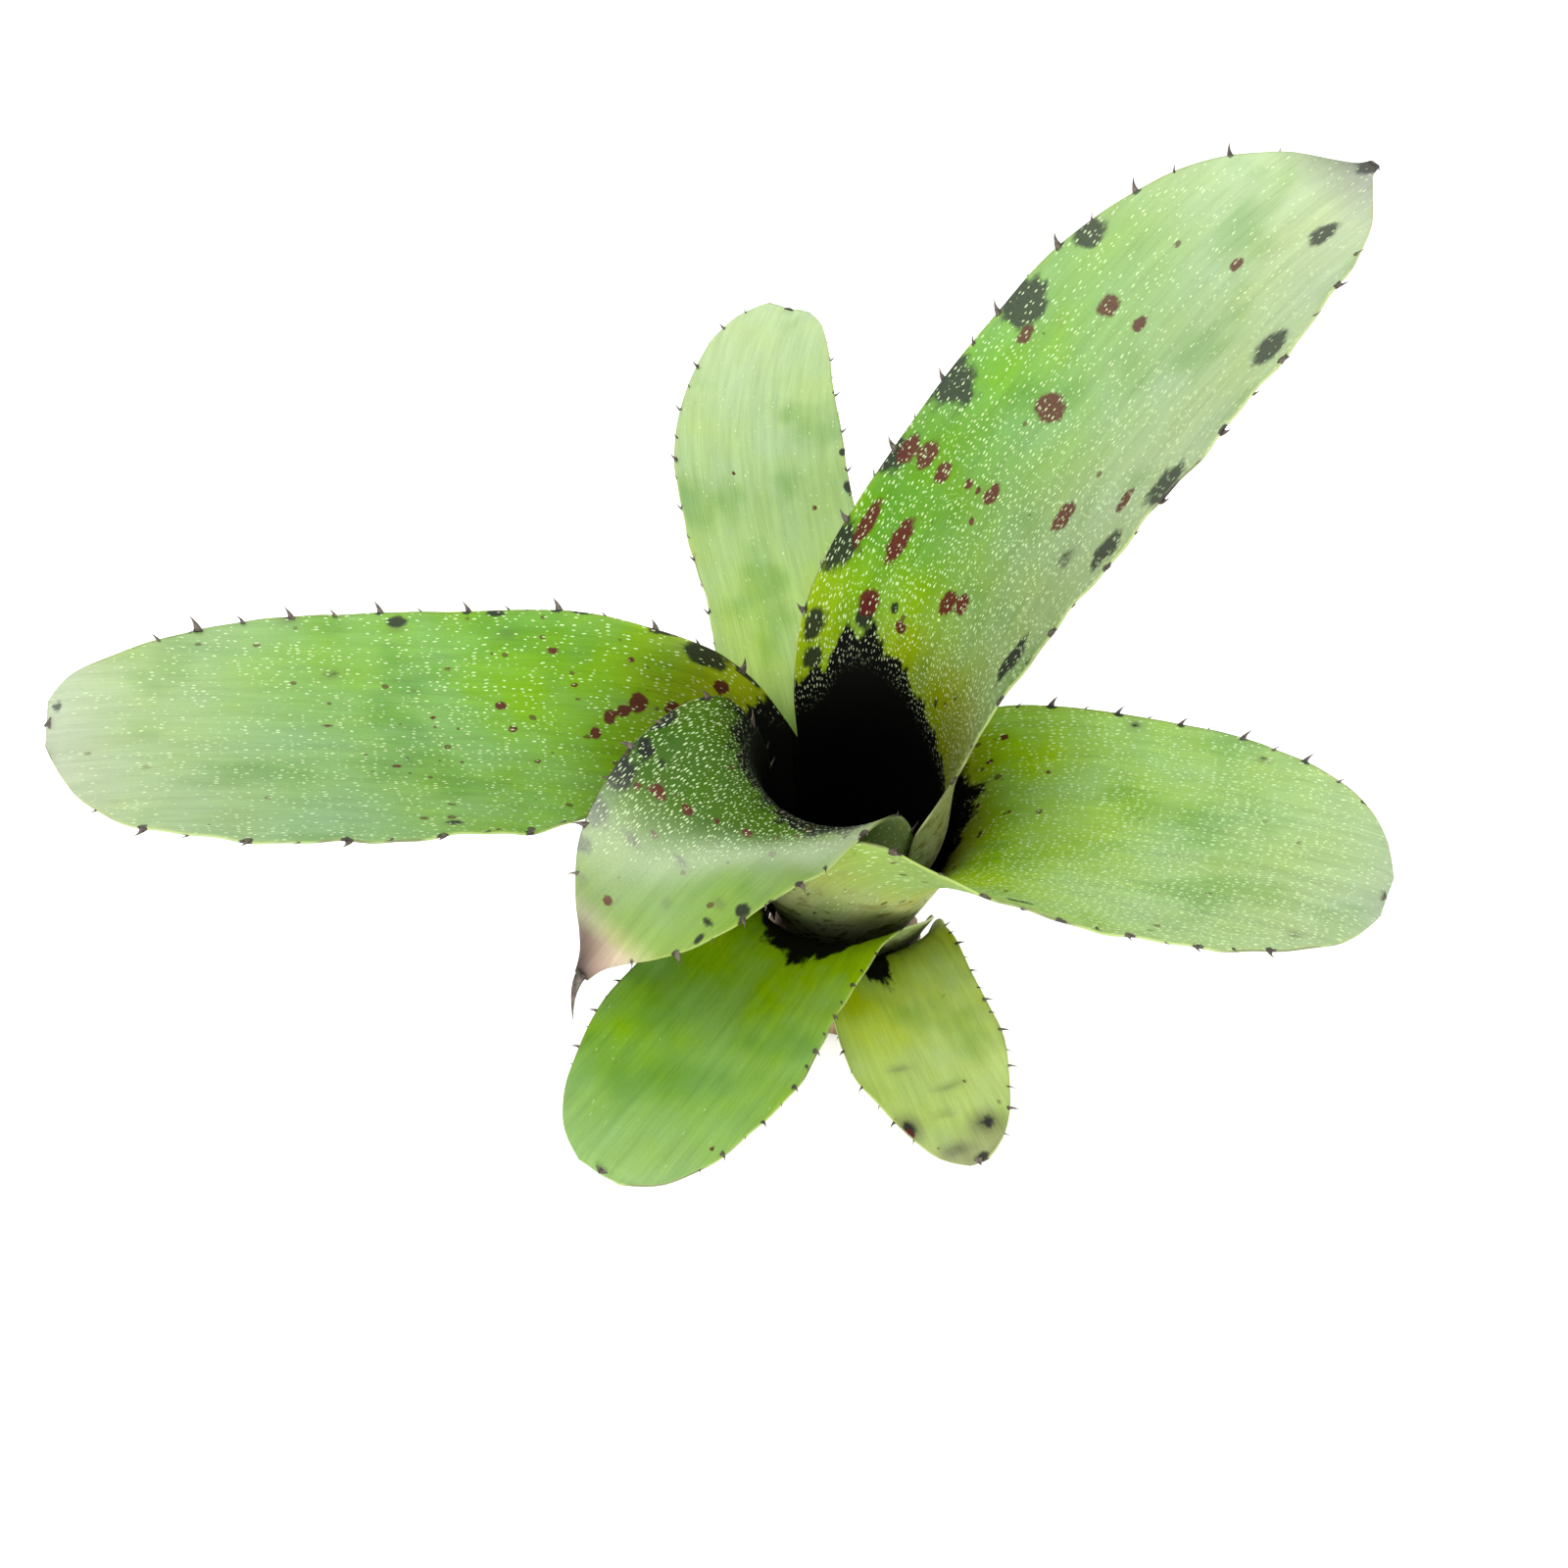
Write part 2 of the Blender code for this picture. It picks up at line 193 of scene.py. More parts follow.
class NodeSheet:  # one node tree, with short calls for the nodes that the looks below use
    def __init__(self, tree):
        self.nodes = tree.nodes
        self.link = tree.links.new

    def add(self, kind, **values):  # in0, in1 and so on set an input, other names a property
        node = self.nodes.new(kind)
        for key, value in values.items():
            if key[2:].isdigit():
                node.inputs[int(key[2:])].default_value = value
            else:
                setattr(node, key, value)
        return node

    def attribute(self, name):
        return self.add("ShaderNodeAttribute", attribute_name=name).outputs

    def channels(self, colour):
        node = self.add("ShaderNodeSeparateColor")
        self.link(colour, node.inputs[0])
        return node.outputs[:3]

    def maths(self, operation, a, b=None, c=None, clamp=False):
        node = self.add("ShaderNodeMath", operation=operation, use_clamp=clamp)
        for i, value in enumerate((a, b, c)):
            if value is None:
                continue
            if isinstance(value, (int, float)):
                node.inputs[i].default_value = value
            else:
                self.link(value, node.inputs[i])
        return node.outputs[0]

    def mix(self, factor, a, b, blend="MIX"):
        node = self.add("ShaderNodeMix", data_type="RGBA", blend_type=blend)
        for socket, value in ((node.inputs[0], factor), (node.inputs[6], a), (node.inputs[7], b)):
            if isinstance(value, (int, float)):
                socket.default_value = value
            elif isinstance(value, tuple):
                socket.default_value = (*value, 1.0)
            else:
                self.link(value, socket)
        return node.outputs[2]

    def ramp(self, value, low, high):  # 0 at low, 1 at high
        node = self.add("ShaderNodeMapRange", interpolation_type="SMOOTHSTEP",
                        in1=low, in2=high, in3=0.0, in4=1.0)
        self.link(value, node.inputs[0])
        return node.outputs[0]

    def spread(self, vector, scale):
        node = self.add("ShaderNodeMapping", vector_type="POINT", in3=scale)
        self.link(vector, node.inputs[0])
        return node.outputs[0]

    def noise(self, vector, scale, detail, rough, size=1.0):
        node = self.add("ShaderNodeTexNoise", in2=size, in3=detail, in4=rough)
        self.link(self.spread(vector, scale), node.inputs[0])
        return node.outputs[0]

    def relief(self, height, shader, settings):
        node = self.add("ShaderNodeBump", in0=settings["bump"], in1=settings["relief"])
        self.link(height, node.inputs["Height"])
        self.link(node.outputs[0], shader.inputs["Normal"])

    def roughen(self, value, noise, amount):  # noise moves the value up and down by half the amount
        return self.maths("ADD", value, self.maths("MULTIPLY_ADD", noise, amount, -amount / 2))

    def dots(self, vector, scale, scatter=1.0):  # distance to the nearest, and two random values of it
        node = self.add("ShaderNodeTexVoronoi", voronoi_dimensions="2D", in2=1.0)
        node.inputs["Randomness"].default_value = scatter
        self.link(self.spread(vector, scale), node.inputs[0])
        return node.outputs["Distance"], *self.channels(node.outputs["Color"])[:2]


skin = dict(  # edges are (none, full) of a mask, and (a, b) pairs give a times noise plus b
    noises=dict(  # scale per cm across and along, detail, roughness, size
        streak=((7.0, 0.55, 1.0), 3.0, 0.6), cloud=((0.8, 0.55, 1.0), 3.0, 0.55),
        vein=((26.0, 0.9, 1.0), 1.0, 0.4), grain=((30.0, 18.0, 1.0), 2.0, 0.6),
        pool=((0.55, 0.4, 1.0), 2.0, 0.5, 1.3), ragged=((5.0, 2.4, 1.0), 4.0, 0.6),
        raggedDark=((3.4, 1.2, 1.0), 5.0, 0.62), fray=((9.0, 5.0, 1.0), 4.0, 0.65),
        drift=((1.4, 1.4, 1.0), 1.0, 0.5), patch=((2.2, 1.1, 1.0), 3.0, 0.6)),
    shading=dict(streak=0.5, vein=0.2, grain=0.16), hue=(0.06, 0.47), saturation=(-0.7, 1.38),
    pool=dict(edge=(0.5, 0.72), share=0.6, deepen=0.75, colour=(0.30, 0.55, 0.16)),
    blotch=dict(fray=1.3, edge=(-0.08, 0.34), share=0.97, cover=0.95, colour=(0.004, 0.003, 0.007)),
    spot=dict(fray=0.9, edge=(-0.04, 0.28), share=0.96,
              dark=(0.03, 0.0015, 0.002), light=(0.08, 0.006, 0.006)),
    rust=dict(scale=(2.6, 1.9, 1.0), size=(0.13, 0.05), fray=0.24, edge=(0.0, 0.05), share=0.8,
              colour=(0.055, 0.028, 0.008)),
    # the cup's near-black is dark pigment deepened into painted shade
    cup=dict(fray=2.4, edge=(-0.1, 0.28), colour=(0.0008, 0.0006, 0.0008)),
    height=dict(vein=0.6, fleck=0.5, grain=0.2), rough=dict(base=0.4, fleck=0.2, grain=0.16))

flecks = dict(  # white scurf in rows
    rows=(16.0, 6.0, 1.0), scatter=0.75, waver=0.18, size=(0.12, 0.12), edge=(-0.03, 0.05),
    fineRows=(23.0, 11.0, 1.0), fineRadius=0.2, fineEdge=(-0.03, 0.06), fineShare=0.6,
    patchy=(3.0, -0.45), spare=(0.5, -0.22), chanceEdge=(0.0, 0.12),
    cupEdge=(0.1, 1.25),  # they end where the cup darkens
    share=0.85, cover=0.7, colour=(0.55, 0.68, 0.38),
    # the bloom is scurf's pale grey, and along the front blade's fold it is a painted highlight
    bloomAndHighlight=(0.7, 0.45), bloomAndHighlightColour=(0.33, 0.38, 0.27))


def makeSurfaceGroup():  # colours a blade from its own UV map (cm) and its tint and marks attributes
    group = bpy.data.node_groups.new("bladeSurface", "ShaderNodeTree")
    masks = ("Fleck density", "Spot", "Cup dark and shade", "Blotch", "Scurf and fold highlight", "Rust")
    inputs = [("Across and along", "Vector"), ("Tint", "Color"), *((name, "Float") for name in masks)]
    outputs = [("Color", "Color"), ("Height", "Float"), ("Roughness", "Float")]
    for way, sockets in (("INPUT", inputs), ("OUTPUT", outputs)):
        for name, kind in sockets:
            group.interface.new_socket(name=name, in_out=way, socket_type="NodeSocket" + kind)
    sheet = NodeSheet(group)
    maths, mix, ramp, link = sheet.maths, sheet.mix, sheet.ramp, sheet.link
    given = sheet.add("NodeGroupInput").outputs
    place = given["Across and along"]
    noise = {name: sheet.noise(place, *values) for name, values in skin["noises"].items()}

    # the green, with streaks, veins, clouds and deeper pools
    shade = 1.0
    for name, amount in skin["shading"].items():
        shade = sheet.roughen(shade, noise[name], amount)
    tone = sheet.add("ShaderNodeHueSaturation")
    link(maths("MULTIPLY_ADD", noise["cloud"], *skin["hue"]), tone.inputs[0])
    link(maths("MULTIPLY_ADD", noise["cloud"], *skin["saturation"]), tone.inputs[1])
    link(shade, tone.inputs[2])
    link(given["Tint"], tone.inputs[4])
    colour = tone.outputs[0]
    pool = skin["pool"]
    deeper = mix(pool["deepen"], colour, pool["colour"], "MULTIPLY")
    colour = mix(maths("MULTIPLY", ramp(noise["pool"], *pool["edge"]), pool["share"]), colour, deeper)

    # black blotches, maroon spots, rust specks, and the black of the cup: dark pigment deepened to black as
    # painted shade
    blotch = skin["blotch"]
    blotchEdge = sheet.roughen(given["Blotch"], noise["ragged"], blotch["fray"])
    blotchMask = maths("MULTIPLY", ramp(blotchEdge, *blotch["edge"]), blotch["share"])
    colour = mix(blotchMask, colour, mix(blotch["cover"], colour, blotch["colour"]))
    spot = skin["spot"]
    spotEdge = sheet.roughen(given["Spot"], noise["fray"], spot["fray"])
    spotMask = maths("MULTIPLY", ramp(spotEdge, *spot["edge"]), spot["share"])
    colour = mix(spotMask, colour, mix(noise["grain"], spot["dark"], spot["light"]))
    rust = skin["rust"]
    distance, chance, size = sheet.dots(place, rust["scale"])
    near = maths("SUBTRACT", maths("MULTIPLY_ADD", size, *rust["size"]), distance)
    near = ramp(sheet.roughen(near, noise["fray"], rust["fray"]), *rust["edge"])
    chosen = ramp(maths("SUBTRACT", given["Rust"], chance), *rust["edge"])
    rustMask = maths("MULTIPLY", maths("MULTIPLY", near, chosen), rust["share"])
    colour = mix(rustMask, colour, rust["colour"])
    cup = skin["cup"]
    dark = sheet.roughen(given["Cup dark and shade"], noise["raggedDark"], cup["fray"])
    colour = mix(ramp(dark, *cup["edge"]), colour, cup["colour"])

    # white flecks in wavering rows, a finer set between them, and the pale bloom of scurf, which also paints
    # the highlight along the front blade's fold
    waver = sheet.add("ShaderNodeVectorMath", operation="ADD")
    link(place, waver.inputs[0])
    link(maths("MULTIPLY", noise["drift"], flecks["waver"]), waver.inputs[1])
    distance, chance, size = sheet.dots(waver.outputs[0], flecks["rows"], flecks["scatter"])
    patchy = maths("MULTIPLY_ADD", noise["patch"], *flecks["patchy"])
    wanted = maths("MULTIPLY", given["Fleck density"], patchy)
    present = ramp(maths("SUBTRACT", wanted, chance), *flecks["chanceEdge"])
    radius = maths("MULTIPLY_ADD", size, *flecks["size"])
    dot = maths("MULTIPLY", ramp(maths("SUBTRACT", radius, distance), *flecks["edge"]), present)
    distance, chance = sheet.dots(waver.outputs[0], flecks["fineRows"])[:2]
    spare = maths("MULTIPLY_ADD", wanted, *flecks["spare"])
    present = ramp(maths("SUBTRACT", spare, chance), *flecks["chanceEdge"])
    fineDot = ramp(maths("SUBTRACT", flecks["fineRadius"], distance), *flecks["fineEdge"])
    fineDot = maths("MULTIPLY", maths("MULTIPLY", fineDot, present), flecks["fineShare"])
    dot = maths("MAXIMUM", dot, fineDot)
    outside = maths("SUBTRACT", 1.0, ramp(given["Cup dark and shade"], *flecks["cupEdge"]))
    fleckMask = maths("MULTIPLY", maths("MULTIPLY", dot, outside), flecks["share"])
    colour = mix(fleckMask, colour, mix(flecks["cover"], colour, flecks["colour"]))
    bloomAndHighlight = maths("MULTIPLY_ADD", noise["grain"], *flecks["bloomAndHighlight"])
    bloomAndHighlight = maths("MULTIPLY", given["Scurf and fold highlight"], bloomAndHighlight, clamp=True)
    colour = mix(bloomAndHighlight, colour, flecks["bloomAndHighlightColour"])

    height = maths("MULTIPLY", fleckMask, skin["height"]["fleck"])
    height = maths("MULTIPLY_ADD", noise["vein"], skin["height"]["vein"], height)
    height = maths("MULTIPLY_ADD", noise["grain"], skin["height"]["grain"], height)
    rough = maths("MULTIPLY_ADD", fleckMask, skin["rough"]["fleck"], skin["rough"]["base"])
    rough = maths("MULTIPLY_ADD", noise["grain"], skin["rough"]["grain"], rough)
    out = sheet.add("NodeGroupOutput")
    for i, value in enumerate((colour, height, rough)):
        link(value, out.inputs[i])
    return group


surfaceGroup = makeSurfaceGroup()


def principled(name, gloss=0.3):
    look = bpy.data.materials.new(name)
    look.use_nodes = True
    shader = look.node_tree.nodes["Principled BSDF"]
    shader.inputs["Specular IOR Level"].default_value = gloss
    return look, shader


bladeFinish = dict(gloss=0.03, bump=0.5, relief=0.0003, scurf=0.8)  # relief in m

underside = dict(  # paler and duller, with a cream sheath that has olive stains
    scurf=0.7, dull=0.35, dullColour=(0.26, 0.30, 0.16), sheathColour=(0.45, 0.48, 0.24),
    stainNoise=((2.4, 3.4, 1.0), 4.0, 0.6), stainEdge=(0.52, 0.62), stainReach=2.2,
    stainColour=(0.20, 0.19, 0.06), fleckShare=0.5, cupOff=6.0)


def bladeLook(name, under=None):
    look, shader = principled(name, bladeFinish["gloss"])
    sheet = NodeSheet(look.node_tree)
    link = sheet.link
    place = sheet.add("ShaderNodeUVMap", uv_map="blade").outputs[0]
    tint = sheet.attribute("tint")
    marks = sheet.attribute("marks")
    spot, dark, blotch = sheet.channels(marks["Color"])
    colour, density, scurf = tint["Color"], tint["Alpha"], bladeFinish["scurf"]
    if under:
        colour = sheet.mix(under["dull"], colour, under["dullColour"])
        wall = sheet.attribute("sheath")["Fac"]
        colour = sheet.mix(wall, colour, under["sheathColour"])
        stain = sheet.ramp(sheet.noise(place, *under["stainNoise"]), *under["stainEdge"])
        stain = sheet.maths("MULTIPLY", stain, sheet.maths("MULTIPLY", wall, under["stainReach"], clamp=True))
        colour = sheet.mix(stain, colour, under["stainColour"])
        density = sheet.maths("MULTIPLY", density, under["fleckShare"])
        dark = sheet.maths("SUBTRACT", dark, under["cupOff"])
        scurf = under["scurf"]
    surface = sheet.add("ShaderNodeGroup", node_tree=surfaceGroup)
    for socket, value in (("Across and along", place), ("Tint", colour), ("Fleck density", density),
                          ("Spot", spot), ("Cup dark and shade", dark), ("Blotch", blotch),
                          ("Scurf and fold highlight", sheet.maths("MULTIPLY", marks["Alpha"], scurf)),
                          ("Rust", sheet.attribute("rust")["Fac"])):
        link(value, surface.inputs[socket])
    link(surface.outputs["Color"], shader.inputs["Base Color"])
    link(surface.outputs["Roughness"], shader.inputs["Roughness"])
    sheet.relief(surface.outputs["Height"], shader, bladeFinish)
    return look


upperLook = bladeLook("leafUpper")
underLook = bladeLook("leafUnder", underside)

margin = dict(
    fray=((1.0, 6.0, 1.0), 3.0, 0.6), frayAmount=0.8, rough=(0.2, 0.45),
    horn=0.28, hornColour=(0.32, 0.38, 0.14), sheathColour=(0.66, 0.70, 0.38),
    line=((0.5, 0.5, 1.0), 3.0, 0.6), lineEdge=(0.5, 0.6), lineShare=0.75, lineColour=(0.07, 0.075, 0.03),
    blotchEdge=(0.0, 0.3), blotchColour=(0.03, 0.022, 0.02),
    # cupColour is the margin's black in the cup, dark pigment deepened by painted shade
    cupEdge=(-0.6, 0.6), cupColour=(0.004, 0.004, 0.004))


def marginLook():
    look, shader = principled("leafMargin")
    sheet = NodeSheet(look.node_tree)
    place = sheet.add("ShaderNodeUVMap", uv_map="blade").outputs[0]
    dark, blotch = sheet.channels(sheet.attribute("marks")["Color"])[1:]
    fray = sheet.noise(place, *margin["fray"])
    colour = sheet.mix(margin["horn"], sheet.attribute("tint")["Color"], margin["hornColour"])
    colour = sheet.mix(sheet.attribute("sheath")["Fac"], colour, margin["sheathColour"])
    line = sheet.ramp(sheet.noise(place, *margin["line"]), *margin["lineEdge"])
    colour = sheet.mix(sheet.maths("MULTIPLY", line, margin["lineShare"]), colour, margin["lineColour"])
    blotch = sheet.roughen(blotch, fray, margin["frayAmount"])
    colour = sheet.mix(sheet.ramp(blotch, *margin["blotchEdge"]), colour, margin["blotchColour"])
    # the cup's black on the margin, partly painted shade
    colour = sheet.mix(sheet.ramp(dark, *margin["cupEdge"]), colour, margin["cupColour"])
    sheet.link(colour, shader.inputs["Base Color"])
    sheet.link(sheet.maths("MULTIPLY_ADD", fray, *margin["rough"]), shader.inputs["Roughness"])
    return look


edgeLook = marginLook()

horn = dict(
    mottle=((900, 900, 900), 4.0, 0.6), edge=(0.3, 0.7), dark=(0.022, 0.016, 0.013), light=(0.10, 0.08, 0.06),
    rough=(0.3, 0.35), bump=0.6, relief=0.0001)

bark = dict(
    mottle=((520, 520, 150), 4.0, 0.6), edge=(0.3, 0.7), dark=(0.05, 0.028, 0.014), light=(0.24, 0.15, 0.075),
    rough=(0.3, 0.6), bump=0.6, relief=0.0006,
    heart=(0.022, 0.036), heartShadeColour=(0.006, 0.008, 0.005))  # m up the stem, inside the cup, where the stem is painted near black as shade


def mottledLook(name, settings):
    look, shader = principled(name)
    sheet = NodeSheet(look.node_tree)
    where = sheet.add("ShaderNodeTexCoord").outputs["Object"]
    mottle = sheet.noise(where, *settings["mottle"])
    colour = sheet.mix(sheet.ramp(mottle, *settings["edge"]), settings["dark"], settings["light"])
    # the stem darkens to near black inside the cup: painted shade
    if "heart" in settings:
        split = sheet.add("ShaderNodeSeparateXYZ")
        sheet.link(where, split.inputs[0])
        colour = sheet.mix(sheet.ramp(split.outputs[2], *settings["heart"]), colour, settings["heartShadeColour"])
    sheet.link(colour, shader.inputs["Base Color"])
    sheet.link(sheet.maths("MULTIPLY_ADD", mottle, *settings["rough"]), shader.inputs["Roughness"])
    sheet.relief(mottle, shader, settings)
    return look


spineLook = mottledLook("spineHorn", horn)
stemLook = mottledLook("stemBark", bark)
print("materials ready")


# leaves

def ellipses(spots, s, across):  # 1 at a mark's middle, 0 at its rim, below 0 outside
    field = np.full(s.shape, -3.0)
    for place, aside, longRadius, wideRadius, *weight in spots:
        reach = np.sqrt(((s - place) / longRadius) ** 2 + ((across - aside) / wideRadius) ** 2)
        field = np.maximum(field, (weight[0] if weight else 1.0) - reach)
    return field


def toothPlaces(leaf):  # mm along, side and height of each larger spine
    height, spacing = leaf["tooth"]
    s = spines["first"] * leaf["length"]
    places = []
    while s + spacing < spines["last"] * leaf["length"] - spines["tipRoom"]:
        places.append((s, -1, height))
        places.append((s + spacing / 2, 1, height))
        s += spacing
    return places


def toothFeet(leaf):  # the dark mark under each spine
    return [(place + spines["footAhead"],
             side * (halfWidth(leaf, place) - spines["footIn"]) + shiftAside(leaf, place),
             *spines["footRadii"], leaf.get("feet", 1.0))
            for place, side, height in toothPlaces(leaf)]


def liftOf(name, leaf, s, across, u, free):  # fine relief, mm out of the upper face
    rnd = random.Random(name)
    turn = 2 * math.pi
    slowStart, quickStart, alongStart, acrossStart = (rnd.uniform(0, 6.28) for _ in range(4))
    edge = np.abs(u) ** 3
    lift = blade["ribs"] * np.cos(across * turn / blade["ribSpacing"]) * (1 - edge)
    lift = lift - blade["gutter"] * np.exp(-(across / blade["gutterWidth"]) ** 2) * free
    slowStep, quickStep = ((u > 0) * step for step in blade["sideStep"])
    slow = np.sin(s * turn / blade["waveLength"] + slowStart + slowStep)
    quick = np.sin(s * turn / (blade["waveLength"] * blade["flutterShare"]) + quickStart + quickStep)
    lift = lift + blade["wave"] * (slow + blade["flutter"] * quick) * edge * free
    sway = np.sin(s / blade["swayAlong"] + alongStart) * np.sin(across / blade["swayAcross"] + acrossStart)
    return lift + blade["sway"] * free * sway


def tintOf(leaf, s, across, t, u):  # colour and fleck density of every point
    mixing = smoothStep(-blade["mixing"], blade["mixing"], u)[:, None]
    tint = colourAlong(leaf["leftTint"], t) * (1 - mixing) + colourAlong(leaf["rightTint"], t) * mixing
    rim = smoothStep(blade["rimFrom"], 1.0, np.abs(u))[:, None] * blade["rimShare"]
    tint = tint * (1 - rim) + leafTint(blade["rimTint"]) * rim
    lean = np.clip(u * leaf.get("fleckLean", 0.0), -1, 1)
    density = along(leaf["flecks"], t) * (1 - blade["fleckLoss"] * lean)
    if "ridge" in leaf:  # greener inside the fold, and no flecks beyond it
        beyond = s - along(leaf["ridge"], 0.5 + 0.5 * u)
        inner = (1 - smoothStep(*fold["inside"], beyond))[:, None]
        tint = tint * (1 - inner) + leafTint(leaf["innerTint"]) * inner
        density = density * (1 - fold["fleckLoss"] * smoothStep(*fold["fleckFree"], beyond))
    stain = smoothStep(0, 1, ellipses(leaf.get("stains", []), s, across))[:, None]
    return tint * (1 - stain) + leafTint(blade["stainTint"]) * stain, density


def marksOf(leaf, s, across, t, u):  # maroon spots, black of the cup (dark pigment with painted shade), black blotches, scurf with the painted fold highlight
    scurf = along(leaf["scurf"], t)
    if "ridge" in leaf:  # the fold is pale with a painted highlight, in the colour of scurf bloom
        beyond = s - along(leaf["ridge"], 0.5 + 0.5 * u)
        scurf = scurf + fold["scurf"] * np.exp(-(beyond / fold["width"]) ** 2)
    cup = (along(leaf["cupEdge"], 0.5 + 0.5 * u) - s) / blade["cupFade"]
    blots = ellipses(leaf["blots"] + toothFeet(leaf), s, across)
    return np.stack([ellipses(leaf["spots"], s, across), cup, blots, scurf], -1)


def thicknessOf(leaf, t, u):  # share of the full thickness
    thin = blade["marginThick"] / blade["thick"]
    thick = 1.0 - (1.0 - thin) * np.abs(u) ** blade["thinning"]
    return np.where(t > leaf["reach"] - blade["endStrip"], thin, thick)


def newPiece(name, bm, looks):
    mesh = bpy.data.meshes.new(name)
    bm.to_mesh(mesh)
    bm.free()
    for look in looks:
        mesh.materials.append(look)
    piece = bpy.data.objects.new(name, mesh)
    bpy.context.scene.collection.objects.link(piece)
    return piece


def makeBlade(name, node, leaf):
    rib = midrib(leaf)
    widest = max(p[1] for p in leaf["half"])
    bm = bmesh.new()
    bmesh.ops.create_grid(bm, x_segments=int(2 * widest / blade["cell"]),
                          y_segments=int(leaf["length"] / blade["cell"]), size=0.5)
    bmesh.ops.reverse_faces(bm, faces=bm.faces)
    bm.verts.ensure_lookup_table()
    spot = np.array([v.co[:2] for v in bm.verts])
    u = 2 * spot[:, 0]  # -1 and 1 at the margins
    t = spot[:, 1] + 0.5  # share of the length
    t = leaf["reach"] * (t + blade["rowPacking"] * np.sin(2 * math.pi * t) / (2 * math.pi))
    s = t * leaf["length"]
    across = along(leaf["half"], t) * u + along(leaf.get("shift", level), t)
    leaveFrom, leaveTo = leaf["leave"]
    free = smoothStep(leaveFrom, leaveTo + blade["waveFull"], t)
    lift = liftOf(name, leaf, s, across, u, free)
    point = leafPoints(leaf, rib, s, across) + leafNormal(leaf, rib, s, across) * lift[:, None]
    tint, density = tintOf(leaf, s, across, t, u)
    marks = marksOf(leaf, s, across, t, u)
    rust = along(leaf["rust"], t)
    creamFrom, creamTo = blade["creamEnd"]  # shares of where the blade frees itself
    sheath = leaf.get("cream", 1.0) * (1 - smoothStep(leaveFrom * creamFrom, leaveTo * creamTo, t))
    thick = thicknessOf(leaf, t, u)

    uv = bm.loops.layers.uv.new("blade")
    tintLayer = bm.verts.layers.float_color.new("tint")
    markLayer = bm.verts.layers.float_color.new("marks")
    sheathLayer = bm.verts.layers.float.new("sheath")
    rustLayer = bm.verts.layers.float.new("rust")
    thickLayer = bm.verts.layers.deform.new()
    for i, v in enumerate(bm.verts):
        v.co = point[i] * mm
        v[tintLayer] = (*tint[i], density[i])
        v[markLayer] = tuple(marks[i])
        v[sheathLayer] = sheath[i]
        v[rustLayer] = rust[i]
        v[thickLayer][0] = thick[i]
    for face in bm.faces:
        face.smooth = True
        for loop in face.loops:
            i = loop.vert.index
            loop[uv].uv = (across[i] / 10 + leaf["uvShift"], s[i] / 10)  # cm
    piece = newPiece(name, bm, (upperLook, underLook, edgeLook))
    piece.vertex_groups.new(name="thick")
    wall = piece.modifiers.new("wall", "SOLIDIFY")
    wall.thickness = blade["thick"] * mm
    wall.offset = 0.0
    wall.vertex_group = "thick"
    wall.thickness_vertex_group = 0.0
    wall.material_offset = 1
    wall.material_offset_rim = 2
    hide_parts(node)
    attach(piece, "root")

    teeth = makeTeeth(name + "_spines", leaf, rib)
    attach(teeth, "root")
    print(name, len(piece.data.vertices), "points", len(toothPlaces(leaf)), "spines")


def newCone(bm, rooted, sides, base, point, cuts):  # its vertices, z from -0.5 to 0.5
    verts = bmesh.ops.create_cone(bm, cap_ends=True, segments=sides, radius1=base, radius2=point,
                                  depth=1.0)["verts"]
    edges = dict.fromkeys(e for v in verts for e in v.link_edges)  # each once, in a fixed order
    uprights = [e for e in edges if abs(e.verts[0].co.z - e.verts[1].co.z) > 0.5]
    bmesh.ops.subdivide_edges(bm, edges=uprights, cuts=cuts)
    return [v for v in bm.verts if not v[rooted]]


